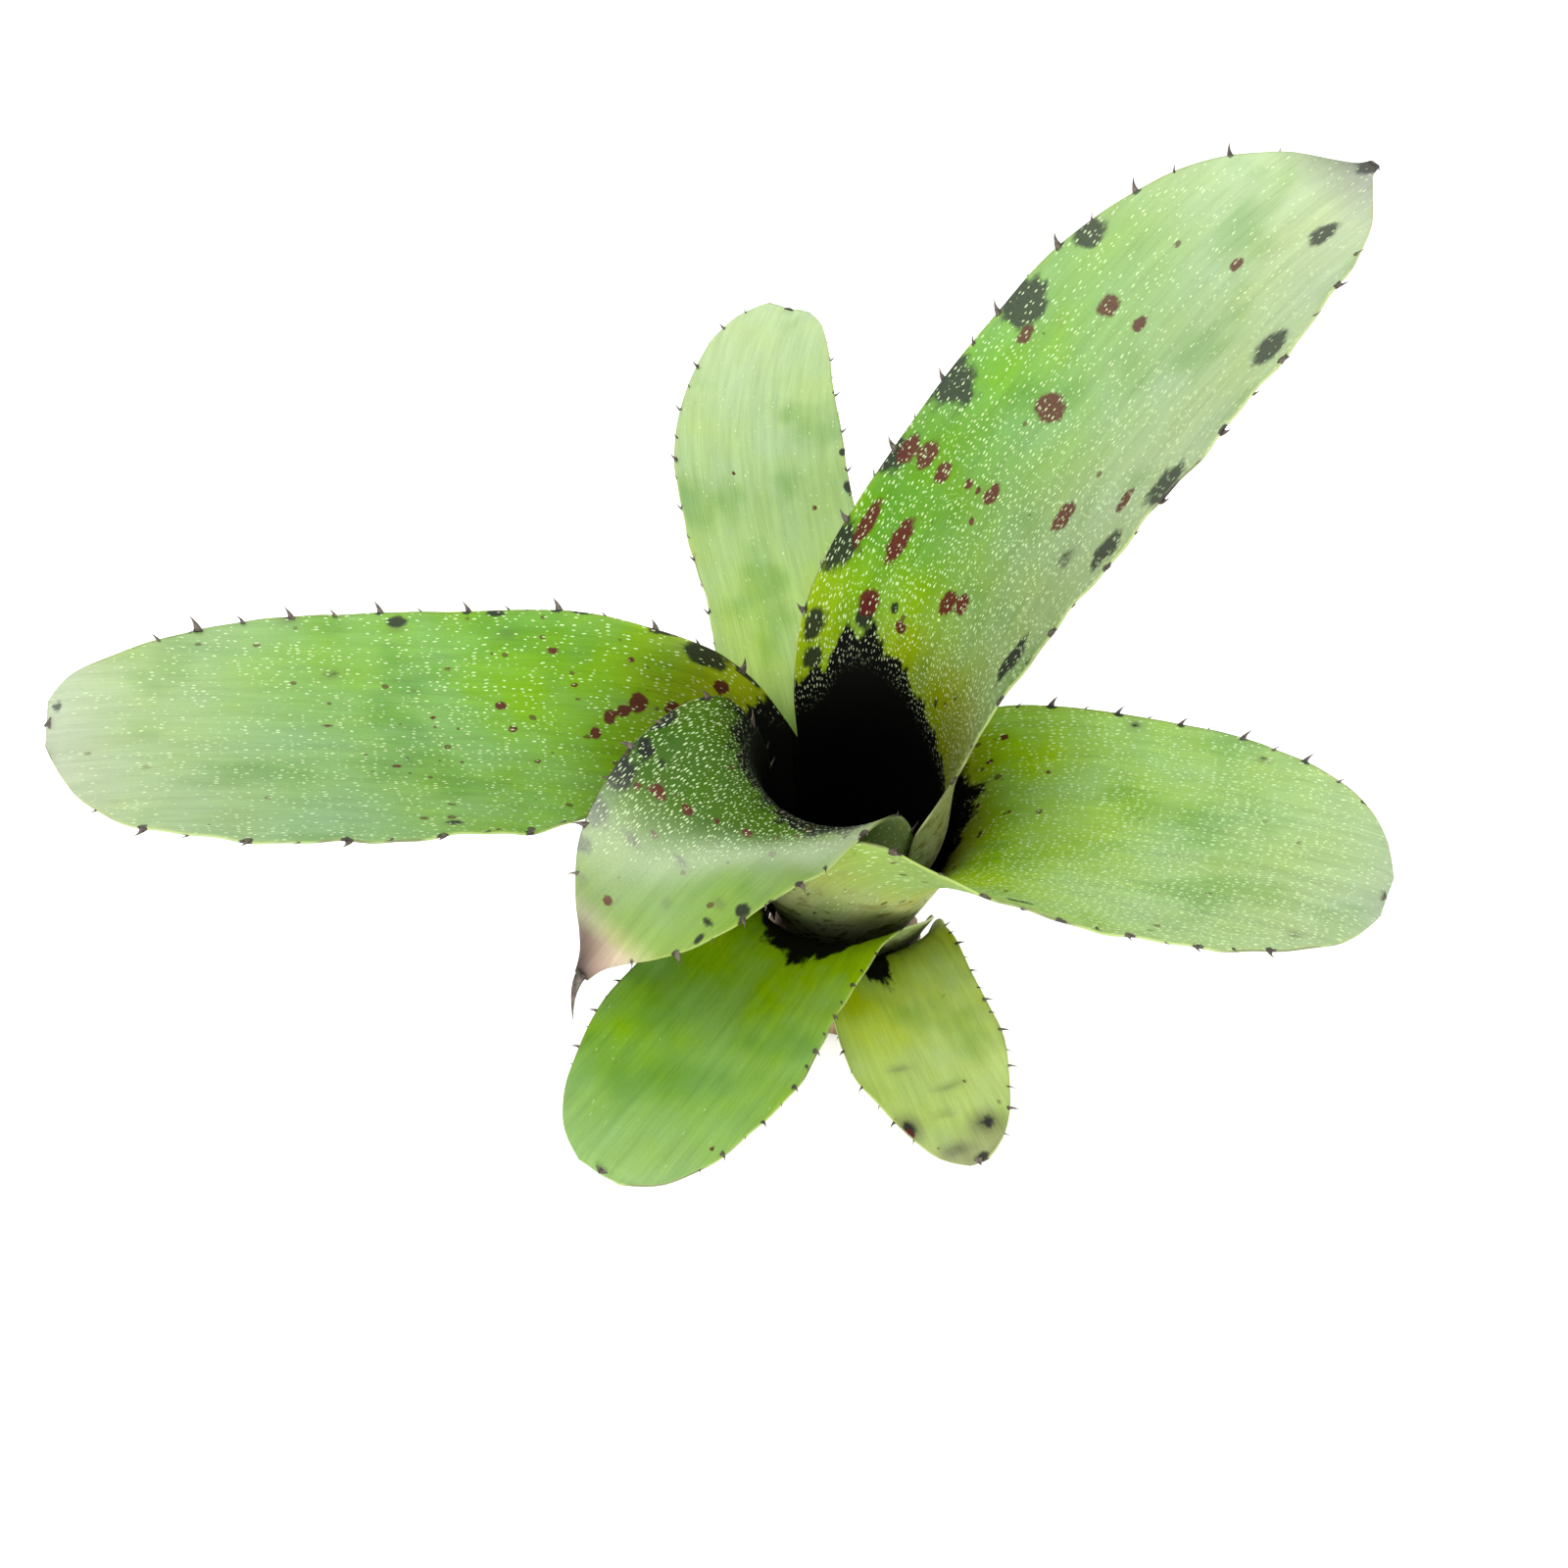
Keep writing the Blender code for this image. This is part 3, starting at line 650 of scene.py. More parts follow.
def makeTeeth(name, leaf, rib):
    bm = bmesh.new()
    rooted = bm.verts.layers.int.new("rooted")  # 1 once a cone stands on the leaf
    rnd = random.Random(name)
    spacing = leaf["tooth"][1]
    small = [(place + spacing * rnd.uniform(*spines["smallPlace"]), side,
              height * rnd.uniform(*spines["smallHeight"]))
             for place, side, height in toothPlaces(leaf)]
    for place, side, height in toothPlaces(leaf) + small:
        if place > leaf.get("lastTooth", 0.975) * leaf["length"]:
            continue
        reach = height * rnd.uniform(*spines["height"])
        base = spines["base"] * reach + spines["baseMore"]
        edge = halfWidth(leaf, place) + side * shiftAside(leaf, place)
        for v in newCone(bm, rooted, spines["sides"], base, spines["point"], spines["cuts"]):
            share = v.co.z + 0.5
            out = edge - spines["sunk"] + share * (reach + spines["sunk"])
            ahead = place + spines["hook"] * share ** spines["hookCurve"] + v.co.x
            where = pointAt(leaf, rib, ahead, side * out)
            up = normalAt(leaf, rib, ahead, side * (edge - 0.5))
            v.co = (where + up * (v.co.y * spines["flat"] + spines["rise"] * share)) * mm
            v[rooted] = 1
    reach, base, droop, *bend = leaf["mucro"]
    end = leaf["reach"] * leaf["length"] - dryPoint["sunk"]
    aside = float(along(leaf.get("shift", level), leaf["reach"]))
    ahead = pointAt(leaf, rib, end, 0.0) - pointAt(leaf, rib, end - 1.0, 0.0)
    up = normalAt(leaf, rib, end, 0.0)
    for v in newCone(bm, rooted, dryPoint["sides"], base, dryPoint["point"], dryPoint["cuts"]):
        share = v.co.z + 0.5
        drift = bend[0] * share ** 2 if bend else 0.0
        where = pointAt(leaf, rib, end, aside + v.co.x + drift)
        v.co = (where + ahead * reach * share + up * (v.co.y * dryPoint["flat"] - droop * share ** 2)) * mm
    bmesh.ops.recalc_face_normals(bm, faces=bm.faces)
    for face in bm.faces:
        face.smooth = True
    return newPiece(name, bm, (spineLook,))


# Angles in each leaf are degrees, lengths mm, and a list of (share, value) runs from foot to tip.
# nest counts the sheaths from the inside, and leave is where the blade frees itself from the tube.
# cupEdge, the top of the black, and ridge run from the margin of leftTint to the other one.
# tooth is the height and spacing of the spines, lastTooth the share of the length where they end,
# mucro the length, radius, droop and bend aside of the dry point, feet the dark below each spine,
# cream how pale the sheath is outside, fleckLean how far the flecks thin out toward one margin,
# and uvShift, in cm, lets no two leaves have the same pattern.
# A spot, blot or stain is its place along and aside, half length and half width, and strength.

longLeaf = dict(
    azimuth=35, nest=1, footZ=30, length=173, leave=(0.2, 0.42), uvShift=0.0,
    lean=[(0, 84), (0.3, 70), (0.5, 52), (0.75, 42), (1, 18)],
    swing=[(0, 0), (0.4, 0), (1, -10)],
    half=[(0, 18), (0.16, 30), (0.23, 30.2), (0.29, 28.4), (0.34, 27.2), (0.42, 26.6), (0.5, 27),
        (0.6, 27.8), (0.7, 28), (0.86, 22), (0.94, 12.5), (0.975, 5), (0.99, 1.8), (1, 1)],
    shift=[(0, 0), (0.16, -1), (0.23, -0.3), (0.29, 2.2), (0.34, 3.7), (0.42, 3.2), (0.5, 2), (0.6, 0.8),
        (0.7, 0), (1, 0)],
    channel=[(0, 20), (0.34, 27), (0.55, 38), (0.8, 45), (1, 30)],
    tooth=(2.3, 14.0), reach=1.0, mucro=(1.6, 1.2, 2.4),
    # leftTint's pale grey-green from 0.37 to 0.8 is a painted sheen over that side of the blade
    leftTint=[(0, (140, 135, 20)), (0.3, (140, 146, 50)), (0.37, (150, 175, 104)), (0.5, (164, 188, 134)),
        (0.62, (186, 208, 158)), (0.8, (192, 216, 160)), (0.93, (212, 230, 186)), (1, (170, 165, 165))],
    rightTint=[(0, (150, 170, 10)), (0.33, (154, 188, 4)), (0.37, (138, 186, 8)), (0.42, (104, 166, 22)),
        (0.52, (104, 164, 38)), (0.62, (122, 186, 66)), (0.8, (164, 202, 132)), (0.93, (208, 232, 178)),
        (1, (120, 112, 114))],
    flecks=[(0, 0.9), (0.3, 0.9), (0.45, 0.78), (0.6, 0.64), (0.75, 0.4), (1, 0.18)],
    scurf=[(0, 0), (0.4, 0.02), (0.6, 0.12), (1, 0.2)],
    rust=[(0, 0), (0.3, 0.1), (0.5, 0.08), (1, 0.04)],
    cream=0.5,
    cupEdge=[(0, 24), (0.15, 30), (0.3, 36), (0.45, 42), (0.55, 48), (0.63, 54), (0.74, 58), (0.82, 57),
        (0.9, 50), (1, 47)],
    spots=[(74, 26, 5, 1.5), (74, 19, 5.2, 1.9), (62, 19, 2.8, 2.4), (69, 4.6, 3, 1.7),
        (70.5, 1.8, 2.6, 1.5), (108, 9.5, 3, 3.4), (89, 23.1, 3.2, 1.8), (88, 18.8, 2.4, 1.5),
        (90, 8.7, 2.6, 1.4), (88, 26.5, 3.4, 1.7), (89, 13.5, 1.3, 0.9), (89, 11.3, 1, 0.7),
        (95, -6.7, 3.6, 1.9), (104, -17.6, 2.8, 1.4), (127, 13.2, 2.4, 2), (128, 6.4, 1.8, 1.4),
        (115, 21.7, 2.2, 1.3), (145, 0.4, 1.6, 1.2), (60, 11.5, 1.5, 1.5), (84, 9, 1, 0.7)],
    blots=[(69, 29, 4.2, 4.2), (101, 27.6, 5.2, 5.6), (119, 25.6, 4.6, 4.8), (86, 28.6, 4, 3),
        (57, 28, 3, 2.6), (134, 25, 3, 3), (137, -20.5, 4.2, 3.2), (110, -25, 4.8, 3.8), (71, -17, 5, 2.4),
        (157, -7.6, 3.2, 2), (96, -22, 4.6, 2.6), (60, 19, 3.2, 2.2), (172, 0, 3, 2.6), (51, 27, 2.6, 2.2),
        (63, 14, 1.4, 1), (90, -13, 8, 5, 0.3), (55, -6, 2, 1, 0.6), (49, -1, 2.6, 1.2, 0.7)],
    stains=[(91, -14, 12, 7, 0.45), (100, -3, 7, 5, 0.25), (137, -18, 8, 6, 0.4), (120, 18, 6, 6, 0.35),
        (65, 12, 7, 5, 0.3)])
makeBlade("long_blade", "leaf_long", longLeaf)

leftLeaf = dict(
    azimuth=192, nest=2, footZ=27, length=165, leave=(0.1, 0.36), uvShift=7.0,
    lean=[(0, 84), (0.28, 42), (0.5, 20), (0.75, 17), (1, 8)],
    swing=[(0, 0), (0.3, 0), (1, 2)],
    twist=[(0, 0), (0.22, 0), (0.36, -14), (0.6, -3), (1, 0)],
    half=[(0, 18), (0.14, 25), (0.32, 19.5), (0.42, 20), (0.54, 25), (0.7, 26.5), (0.8, 25.4), (0.87, 22.6),
        (0.94, 16.2), (0.965, 11.6), (0.98, 6.8), (0.985, 4.6)],
    shift=[(0, 0), (0.25, -5), (0.36, -6.5), (0.43, -7), (0.54, -2.5), (0.7, 0), (0.88, 1), (0.94, -0.8),
        (0.985, -4.6), (1, -5)],
    channel=[(0, 21), (0.34, 24), (0.55, 42), (0.8, 70), (1, 70)],
    tooth=(2.4, 15.0), reach=0.985, mucro=(1.1, 1.5, 0.3),
    leftTint=[(0, (120, 130, 20)), (0.32, (176, 198, 10)), (0.42, (130, 182, 22)), (0.56, (134, 192, 66)),
        (0.75, (148, 200, 104)), (0.9, (186, 216, 148)), (1, (214, 226, 196))],
    rightTint=[(0, (110, 130, 20)), (0.35, (120, 170, 50)), (0.5, (138, 190, 80)), (0.75, (156, 198, 132)),
        (0.9, (190, 216, 158)), (1, (216, 224, 200))],
    flecks=[(0, 0.4), (0.35, 0.42), (0.5, 0.5), (0.7, 0.52), (0.9, 0.34), (1, 0.2)],
    scurf=[(0, 0), (0.5, 0.05), (0.8, 0.16), (1, 0.3)],
    rust=[(0, 0.2), (0.3, 0.5), (0.5, 0.4), (0.7, 0.16), (1, 0.02)],
    cupEdge=[(0, 44), (0.25, 48), (0.5, 46), (1, 40)],
    spots=[(51, -20.3, 1.6, 1.6), (64.5, -12.2, 2, 2.2), (67, -10.2, 1.4, 1.4), (69.4, -8.6, 1.3, 1.8),
        (72, -5, 1.1, 1.5), (58, -12.6, 1.8, 1.6), (89, -9.2, 1.3, 1), (87, -4.5, 1, 0.8),
        (80, -20.1, 1.8, 1.1, 0.7), (95, -26, 1.5, 1, 0.6), (108, 5.5, 1.2, 0.7, 0.8), (76, -14, 0.9, 0.6),
        (98, -16, 1.2, 0.5), (83, 2, 0.9, 0.6), (119, -3, 1.4, 0.5), (67, -20, 0.8, 0.6),
        (101, -6, 0.8, 0.5)],
    blots=[(56, -24.5, 4.6, 2.4), (48, -26, 3.5, 1.6), (63, -27, 3, 1.2), (76, -28, 3, 0.8),
        (107, -25, 2.4, 1.5, 0.8), (125, -26.5, 3, 1.4, 0.6), (144, -22, 3.6, 1.6, 0.5),
        (90, -27, 2.4, 0.8), (161, -8, 1.4, 2.4, 0.6), (100, 21, 3.2, 1.6, 0.6), (106, 4, 3, 2, 0.35),
        (80, 20, 4.5, 2, 0.75), (118, -14, 6, 5, 0.15)],
    stains=[(118, -14, 9, 7, 0.35), (106, 4, 5, 4, 0.3), (80, 20, 7, 4, 0.7), (100, 21, 6, 3, 0.6),
        (125, -25, 6, 3, 0.6), (107, -24, 5, 3, 0.6), (88, -23, 6, 4, 0.5)])
makeBlade("left_blade", "leaf_left", leftLeaf)

frontLeaf = dict(
    azimuth=226, nest=0, footZ=34, length=98, leave=(0.28, 0.48), uvShift=14.0,
    lean=[(0, 84), (0.4, 63), (0.58, 16), (0.75, -13), (1, -36)],
    swing=[(0, 0), (1, 0)],
    twist=[(0, 0), (0.42, 0), (0.58, -20), (1, -14)],
    half=[(0, 15), (0.2, 23.6), (0.33, 23.8), (0.41, 23), (0.47, 21.6), (0.56, 21.1), (0.66, 19.2),
        (0.76, 16.4), (0.81, 14.4), (0.89, 8.5), (0.93, 4.6), (0.96, 2.4), (1, 1)],
    shift=[(0, 0), (0.2, 0.8), (0.33, 2), (0.41, 1.4), (0.47, -0.2), (0.56, -1.2), (0.66, -1.6),
        (0.76, -0.8), (0.9, 0), (1, 0)],
    channel=[(0, 17), (0.38, 18.5), (0.52, 24), (0.7, 36), (1, 30)],
    tooth=(2.2, 12.0), reach=0.99, mucro=(7.5, 1.1, 0.6, 3.5),
    leftTint=[(0, (120, 150, 40)), (0.5, (120, 170, 70)), (0.7, (132, 166, 92)), (0.8, (134, 166, 96)),
        (0.87, (142, 170, 96)), (0.9, (176, 178, 140)), (0.925, (134, 116, 104)), (1, (78, 68, 70))],
    rightTint=[(0, (140, 135, 20)), (0.42, (138, 142, 44)), (0.52, (146, 176, 110)), (0.72, (142, 180, 88)),
        (0.87, (156, 188, 96)), (0.9, (196, 202, 130)), (0.92, (226, 206, 176)), (0.95, (200, 176, 156)),
        (1, (84, 74, 76))],
    innerTint=(74, 114, 22),
    # ridge is where the painted highlight runs along the fold
    ridge=[(0, 78), (0.2, 77), (0.4, 75), (0.66, 66), (0.8, 56), (1, 47)],
    flecks=[(0, 0.9), (0.45, 1.2), (0.7, 1.05), (0.8, 0.8), (0.9, 0.2), (1, 0)],
    scurf=[(0, 0), (0.8, 0.04), (1, 0)],
    rust=[(0, 0.1), (0.4, 0.2), (0.7, 0.16), (1, 0.1)],
    cream=0.5,
    cupEdge=[(0, 48), (0.3, 50), (0.5, 50), (0.75, 50), (1, 44)],
    spots=[(84, -4.1, 1.3, 1.5, 0.8), (48, 10, 1.4, 1.1, 0.8), (45, 15, 1, 0.8, 0.8),
        (66, -11.3, 1.4, 2.4, 0.85), (64, -5.6, 1.2, 2, 0.8), (58, 4.1, 1.3, 1.4, 0.9),
        (71, -6.1, 1, 1.6, 0.7), (68, -14.5, 0.9, 1.3, 0.8), (61, -1, 0.9, 1.2, 0.7), (54, 8, 0.9, 1.1, 0.7)],
    blots=[(70, 14.9, 1.8, 2, 0.9), (76, 11.8, 1.4, 1.8, 0.7), (64, -19, 1.6, 2.6, 0.9),
        (60, -21.5, 2.4, 1.4), (68, -17.8, 1.2, 2.6, 0.75), (69, -18.4, 2.8, 4.2, 0.95),
        (75, -16.6, 2.6, 4.6, 0.85), (80, -14, 2, 3.6, 0.75), (74, -8, 1.6, 4.4, 0.58),
        (71, 0, 1.4, 4.4, 0.5), (66, 17.6, 2, 1, 0.6), (79, 13, 2, 1, 0.6), (84, -10, 1, 2, 0.4),
        (63, -15, 1, 2, 0.6)],
    stains=[(69, -18.4, 4.5, 6, 0.85), (75, -16.6, 4, 7, 0.8), (80, -14, 3, 5, 0.7), (74, -8, 2.6, 7, 0.65),
        (71, 1, 2.6, 7, 0.6), (84, -10, 2.4, 4, 0.6), (72, 11, 3, 4, 0.6), (78, 4, 3, 4, 0.5),
        (65, -12, 3, 4, 0.5)])
makeBlade("front_blade", "leaf_front", frontLeaf)

rightLeaf = dict(
    azimuth=336.5, nest=3, footZ=24, length=117, leave=(0.15, 0.4), uvShift=21.0,
    lean=[(0, 84), (0.32, 46), (0.5, 22), (0.75, 16), (1, 4)],
    swing=[(0, 0), (0.3, 0), (1, -5)],
    half=[(0, 19), (0.05, 29), (0.12, 38), (0.2, 41), (0.28, 40.5), (0.36, 35.6), (0.42, 33), (0.5, 30.6),
        (0.58, 28.2), (0.66, 26.6), (0.72, 25.9), (0.87, 21), (0.93, 16.4), (0.96, 11.8), (0.976, 7.6),
        (0.985, 4.6)],
    shift=[(0, 0), (0.05, -5), (0.12, -8), (0.2, -10), (0.28, -10.5), (0.36, -7.2), (0.42, -5.4),
        (0.5, -3.6), (0.58, -1.6), (0.66, -0.4), (0.72, 0), (1, 0)],
    channel=[(0, 22), (0.34, 25), (0.55, 40), (0.8, 70), (1, 70)],
    tooth=(2.0, 11.0), lastTooth=0.9, reach=0.985, mucro=(0.7, 1.2, 0.4),
    leftTint=[(0, (150, 150, 20)), (0.26, (190, 190, 60)), (0.36, (160, 200, 44)), (0.6, (180, 218, 128)),
        (0.8, (184, 216, 146)), (0.95, (196, 220, 168)), (1, (186, 200, 164))],
    rightTint=[(0, (150, 150, 20)), (0.26, (188, 188, 50)), (0.38, (160, 206, 52)), (0.6, (184, 230, 128)),
        (0.8, (186, 224, 142)), (0.95, (192, 220, 162)), (1, (186, 200, 164))],
    flecks=[(0, 0.1), (0.3, 0.5), (0.45, 0.86), (0.7, 0.9), (0.9, 0.7), (1, 0.4)],
    fleckLean=0.5,
    scurf=[(0, 0), (0.5, 0.03), (1, 0.12)],
    rust=[(0, 0.3), (0.3, 0.6), (0.4, 0.3), (0.6, 0.06), (1, 0.02)],
    cupEdge=[(0, 6), (0.3, 10), (0.5, 16), (0.62, 24), (0.7, 33), (0.78, 38), (0.87, 36), (0.94, 27),
        (1, 14)],
    spots=[(52, 14.2, 1.3, 1, 0.6), (99, 6.2, 1.3, 1.2, 0.45), (33, 18, 0.9, 0.8), (39, 2.4, 1, 0.9),
        (37, 10, 0.8, 0.7), (41, 18, 0.9, 0.6), (36, 22, 1.3, 1), (44, 22, 0.8, 0.7), (45, 6, 0.8, 0.6),
        (36, -6, 1, 0.8), (31, 24, 1.4, 1.2)],
    blots=[(38, 27, 2, 1.2), (66, 25, 3.4, 1.8, 0.35), (89, 22.5, 2.4, 1.2, 0.4), (112, 11, 1.6, 1.4, 0.35),
        (104, -16, 2, 1.4, 0.35), (60, -26.5, 3, 0.8), (82, -23.5, 2, 1.4, 0.3), (31, 24, 1.2, 0.9, 0.8),
        (35, 20, 0.8, 0.7), (30, 12, 1.2, 1, 0.8)],
    stains=[(66, 25, 6, 4, 0.5), (89, 22, 5, 3, 0.5), (104, -16, 4, 3, 0.6), (80, -8, 7, 5, 0.2)])
makeBlade("right_blade", "leaf_right", rightLeaf)

lowLeftLeaf = dict(
    azimuth=246, nest=5, footZ=17, length=107, leave=(0.15, 0.4), uvShift=28.0,
    lean=[(0, 84), (0.34, 40), (0.5, 18), (0.75, 12), (1, 2)],
    swing=[(0, 0), (0.3, 0), (1, -10)],
    half=[(0, 27), (0.05, 29), (0.16, 31.5), (0.34, 24), (0.5, 19.7), (0.62, 18.7), (0.7, 19), (0.87, 15),
        (0.94, 10.6), (0.962, 7.6), (0.978, 4.2)],
    shift=[(0, -4), (0.05, -3.5), (0.16, -1.5), (0.34, -2), (0.5, -1.2), (0.62, 0), (1, 0)],
    channel=[(0, 24), (0.34, 26), (0.55, 36), (0.8, 60), (1, 60)],
    tooth=(1.4, 8.0), reach=0.978, mucro=(0.8, 1.2, 0.2),
    leftTint=[(0, (130, 150, 10)), (0.42, (150, 196, 6)), (0.6, (130, 178, 60)), (0.8, (134, 182, 84)),
        (1, (160, 200, 112))],
    rightTint=[(0, (140, 160, 10)), (0.42, (170, 212, 16)), (0.6, (148, 192, 76)), (0.8, (150, 196, 96)),
        (1, (170, 208, 120))],
    flecks=[(0, 0), (0.5, 0), (0.8, 0.05), (1, 0.05)],
    scurf=[(0, 0), (0.6, 0), (1, 0.06)],
    rust=[(0, 0.1), (0.5, 0), (1, 0)],
    feet=0.4,
    cupEdge=[(0, 15), (0.33, 26), (0.42, 40), (0.5, 45), (0.62, 47), (0.75, 46), (0.82, 40), (0.9, 28),
        (1, 12)],
    spots=[(92, 13, 0.8, 0.6, 0.8)],
    blots=[(106, -2.5, 1.8, 2, 0.8), (106, 3, 1.2, 1.6, 0.6), (86, 11, 2.4, 1.2, 0.3)])
makeBlade("low_left_blade", "leaf_low_left", lowLeftLeaf)

lowRightLeaf = dict(
    azimuth=282, nest=6, footZ=14, length=86, leave=(0.18, 0.42), uvShift=35.0,
    lean=[(0, 82), (0.36, 42), (0.5, 20), (0.75, 12), (1, 0)],
    swing=[(0, 0), (0.3, 0), (1, 9)],
    half=[(0, 19), (0.18, 23), (0.37, 16), (0.55, 14.5), (0.7, 14.5), (0.87, 10.5), (0.95, 6.4),
        (0.98, 3.2), (0.99, 1.6)],
    shift=[(0, -2), (0.18, -3), (0.34, -1), (0.5, 0), (1, 0)],
    channel=[(0, 25), (0.34, 26), (0.55, 36), (0.8, 60), (1, 60)],
    tooth=(1.4, 8.0), reach=0.99, mucro=(1.2, 0.8, 0.2),
    leftTint=[(0, (150, 160, 30)), (0.46, (216, 238, 88)), (0.65, (212, 236, 108)), (0.9, (184, 210, 120)),
        (1, (150, 150, 110))],
    rightTint=[(0, (150, 160, 30)), (0.46, (214, 234, 110)), (0.65, (214, 236, 132)),
        (0.9, (198, 220, 138)), (1, (150, 150, 110))],
    flecks=[(0, 0), (0.5, 0), (1, 0.04)],
    scurf=[(0, 0), (0.6, 0), (1, 0.05)],
    rust=[(0, 0.1), (0.5, 0.02), (0.8, 0.06), (1, 0.04)],
    feet=0.4,
    cupEdge=[(0, 12), (0.28, 24), (0.36, 40), (0.45, 43), (0.52, 41), (0.6, 30), (1, 8)],
    spots=[(77, -9.4, 1.6, 1.4, 0.75), (74, -10.8, 1, 0.9, 0.6), (81, -5.5, 1.2, 1, 0.5)],
    blots=[(79, 4, 3, 3.6, 0.42), (76, -9, 3, 3, 0.45), (82, -3, 1.6, 4, 0.35), (84.5, 1, 1.4, 1.4, 0.8)],
    # here the stains and blots make grey-brown bands across the blade, darker in stripes
    stains=[(79, 4, 5, 6, 0.85), (76, -9, 5, 4.5, 0.9), (82, -3, 3, 7, 0.75), (64, -6, 2.6, 8, 0.55),
        (70, 1, 2.6, 10, 0.55), (75, -2, 2.4, 8, 0.5)])
makeBlade("low_right_blade", "leaf_low_right", lowRightLeaf)

backLeaf = dict(
    azimuth=105, nest=4, footZ=20, length=148, leave=(0.12, 0.34), uvShift=42.0,
    lean=[(0, 84), (0.28, 42), (0.45, 22), (0.7, 16), (1, 6)],
    swing=[(0, 0), (0.4, 0), (1, -36)],
    half=[(0, 20), (0.14, 30), (0.3, 22), (0.45, 19), (0.65, 19), (0.85, 15), (0.94, 10.5), (0.97, 7.5),
        (0.985, 5)],
    channel=[(0, 23), (0.3, 26), (0.5, 34), (0.8, 60), (1, 60)],
    tooth=(1.6, 12.0), reach=0.985, mucro=(0.9, 1.2, 0.1),
    # its pale tints are partly its own light green and partly painted light shining through the thin blade
    leftTint=[(0, (120, 140, 30)), (0.35, (216, 252, 148)), (0.6, (180, 214, 140)), (0.85, (200, 228, 164)),
        (1, (214, 240, 184))],
    rightTint=[(0, (120, 140, 30)), (0.35, (216, 252, 150)), (0.6, (186, 218, 148)),
        (0.85, (208, 234, 174)), (1, (216, 242, 186))],
    flecks=[(0, 0.05), (0.5, 0.12), (1, 0.08)],
    scurf=[(0, 0), (0.6, 0.04), (1, 0.08)],
    rust=[(0, 0.2), (0.4, 0.04), (1, 0.01)],
    feet=0.6,
    cupEdge=[(0, 34), (0.5, 36), (1, 34)],
    spots=[(85, -10.5, 0.8, 0.6), (96, 6, 0.7, 0.5)],
    blots=[(88, -18.5, 2.2, 1), (78, -18.5, 1.6, 1), (98, -18.5, 1.4, 0.8)])
makeBlade("back_blade", "leaf_back", backLeaf)

stem = dict(  # mm
    profile=[(17.2, 0.0), (17.9, 1.2), (17.5, 5.0), (18.0, 9.0), (17.5, 12.0), (17.2, 14.2), (15.5, 16.9),
             (13.8, 20.0), (12.3, 24.0), (11.0, 27.0), (9.9, 30.0), (9.2, 34.0), (8.0, 38.0), (5.6, 42.0),
             (2.8, 45.5)],  # radius and height
    cutRadius=16.4, firstRing=0.6, rings=70, sides=96,
    inset=0.45,  # keeps it inside the sheaths
    scarDepth=0.35, scarPitch=2.1, scarTop=15,  # leaf scars that wind up the bare foot
    furrow=0.18, furrowCount=31, furrowWaver=(0.9, 2),  # fibres
    smallFace=1e-5)  # m2, the flat ends are larger and stay flat


def makeStem():
    bm = bmesh.new()
    levels = [p[1] for p in stem["profile"]]
    heights = np.linspace(stem["firstRing"], levels[-1], stem["rings"])
    radii = np.interp(heights, levels, [p[0] for p in stem["profile"]])
    ring = bmesh.ops.create_circle(bm, cap_ends=False, segments=stem["sides"],
                                   radius=stem["cutRadius"] * mm)["verts"]
    loop = list(dict.fromkeys(e for v in ring for e in v.link_edges))
    bmesh.ops.contextual_create(bm, geom=loop)  # the flat cut
    pace, waver = stem["furrowWaver"]
    for z, radius in zip(heights, radii):
        grown = bmesh.ops.extrude_edge_only(bm, edges=loop)["geom"]
        ringVerts = [g for g in grown if isinstance(g, bmesh.types.BMVert)]
        loop = [g for g in grown if isinstance(g, bmesh.types.BMEdge)
                and all(v in ringVerts for v in g.verts)]
        for v in ringVerts:
            angle = math.atan2(v.co.y, v.co.x)
            scar = abs(math.sin(math.pi * (z / stem["scarPitch"] + angle / 6.283))) ** 3
            scar = scar * (z < stem["scarTop"])
            furrow = math.sin(angle * stem["furrowCount"] + math.sin(z * pace) * waver) * min(1.0, z / 2)
            r = (radius - stem["inset"] + stem["scarDepth"] * scar + stem["furrow"] * furrow) * mm
            v.co = (r * math.cos(angle), r * math.sin(angle), z * mm)
    bmesh.ops.contextual_create(bm, geom=loop)
    bmesh.ops.recalc_face_normals(bm, faces=bm.faces)
    for face in bm.faces:
        face.smooth = face.calc_area() < stem["smallFace"]
    piece = newPiece("stem_stub", bm, (stemLook,))
    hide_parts("stem")
    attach(piece, "root")
    print("stem_stub", len(piece.data.vertices), "points")


makeStem()


# floor, light and camera

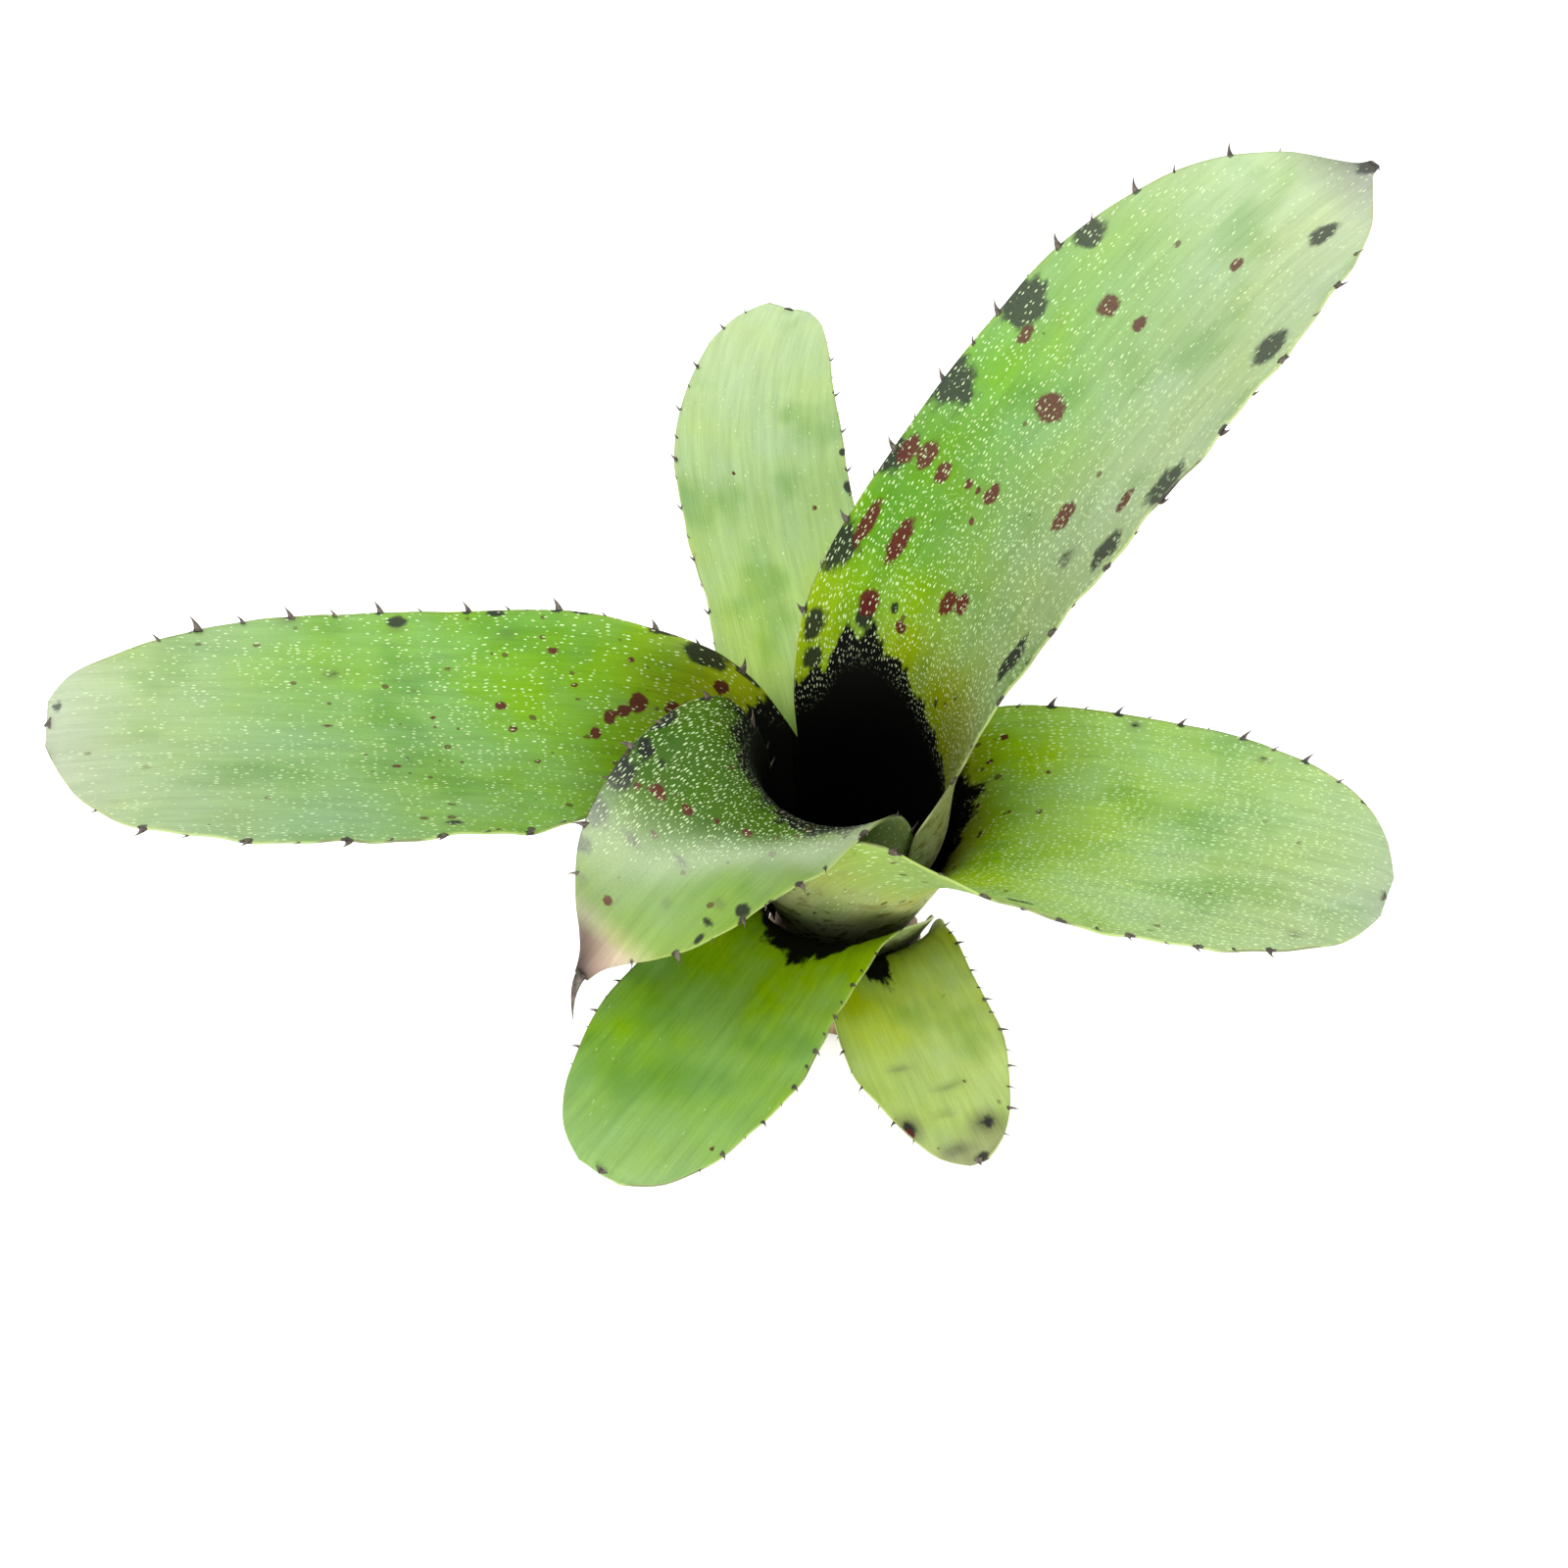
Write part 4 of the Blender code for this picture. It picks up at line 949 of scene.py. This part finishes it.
studio = dict(  # m and degrees
    floor=3.0, floorWhite=0.93, floorVary=0.01, floorGrain=((60, 60, 60), 2.0, 0.5), floorRough=0.9,
    floorDrop=0.0002,  # so that the stem's cut doesn't share its plane
    world=1.35,
    key=dict(size=1.2, energy=9.0, at=(-0.5, 0.25, 0.95)),
    fill=dict(size=0.7, energy=11.0, at=(0.12, -0.85, 0.2)),
    lens=35.3, sensor=36.0, clipStart=0.01,  # lens and sensor in mm
    elevation=50.0, distance=0.3, target=(-0.013, 0.0, 0.066))


def makeFloor():
    bm = bmesh.new()
    bmesh.ops.create_grid(bm, x_segments=1, y_segments=1, size=studio["floor"] / 2)
    look, shader = principled("floorPaper")
    sheet = NodeSheet(look.node_tree)
    where = sheet.add("ShaderNodeTexCoord").outputs["Object"]
    grain = sheet.noise(where, *studio["floorGrain"])
    white, vary = studio["floorWhite"], studio["floorVary"]
    sheet.link(sheet.mix(grain, (white - vary,) * 3, (white + vary,) * 3), shader.inputs["Base Color"])
    shader.inputs["Roughness"].default_value = studio["floorRough"]
    floor = newPiece("floor", bm, (look,))
    floor.location.z = -studio["floorDrop"]


def makeLight(name, settings):
    data = bpy.data.lights.new(name, "AREA")
    data.size = settings["size"]
    data.energy = settings["energy"]
    lamp = bpy.data.objects.new(name, data)
    lamp.location = settings["at"]
    lamp.rotation_euler = (-Vector(settings["at"])).to_track_quat("-Z", "Y").to_euler()
    bpy.context.scene.collection.objects.link(lamp)


def makeCamera():
    data = bpy.data.cameras.new("camera")
    data.lens = studio["lens"]
    data.sensor_width = studio["sensor"]
    data.clip_start = studio["clipStart"]
    camera = bpy.data.objects.new("camera", data)
    lift = math.radians(studio["elevation"])
    back = Vector((0.0, -math.cos(lift), math.sin(lift)))
    camera.location = Vector(studio["target"]) + back * studio["distance"]
    camera.rotation_euler = back.to_track_quat("Z", "Y").to_euler()
    bpy.context.scene.collection.objects.link(camera)
    bpy.context.scene.camera = camera


makeFloor()
makeLight("key", studio["key"])
makeLight("fill", studio["fill"])
makeCamera()
world = bpy.context.scene.world or bpy.data.worlds.new("studio")
bpy.context.scene.world = world
world.use_nodes = True
world.node_tree.nodes["Background"].inputs[0].default_value = (1.0, 1.0, 1.0, 1.0)
world.node_tree.nodes["Background"].inputs[1].default_value = studio["world"]
bpy.context.scene.view_settings.view_transform = "Standard"
print("studio ready")
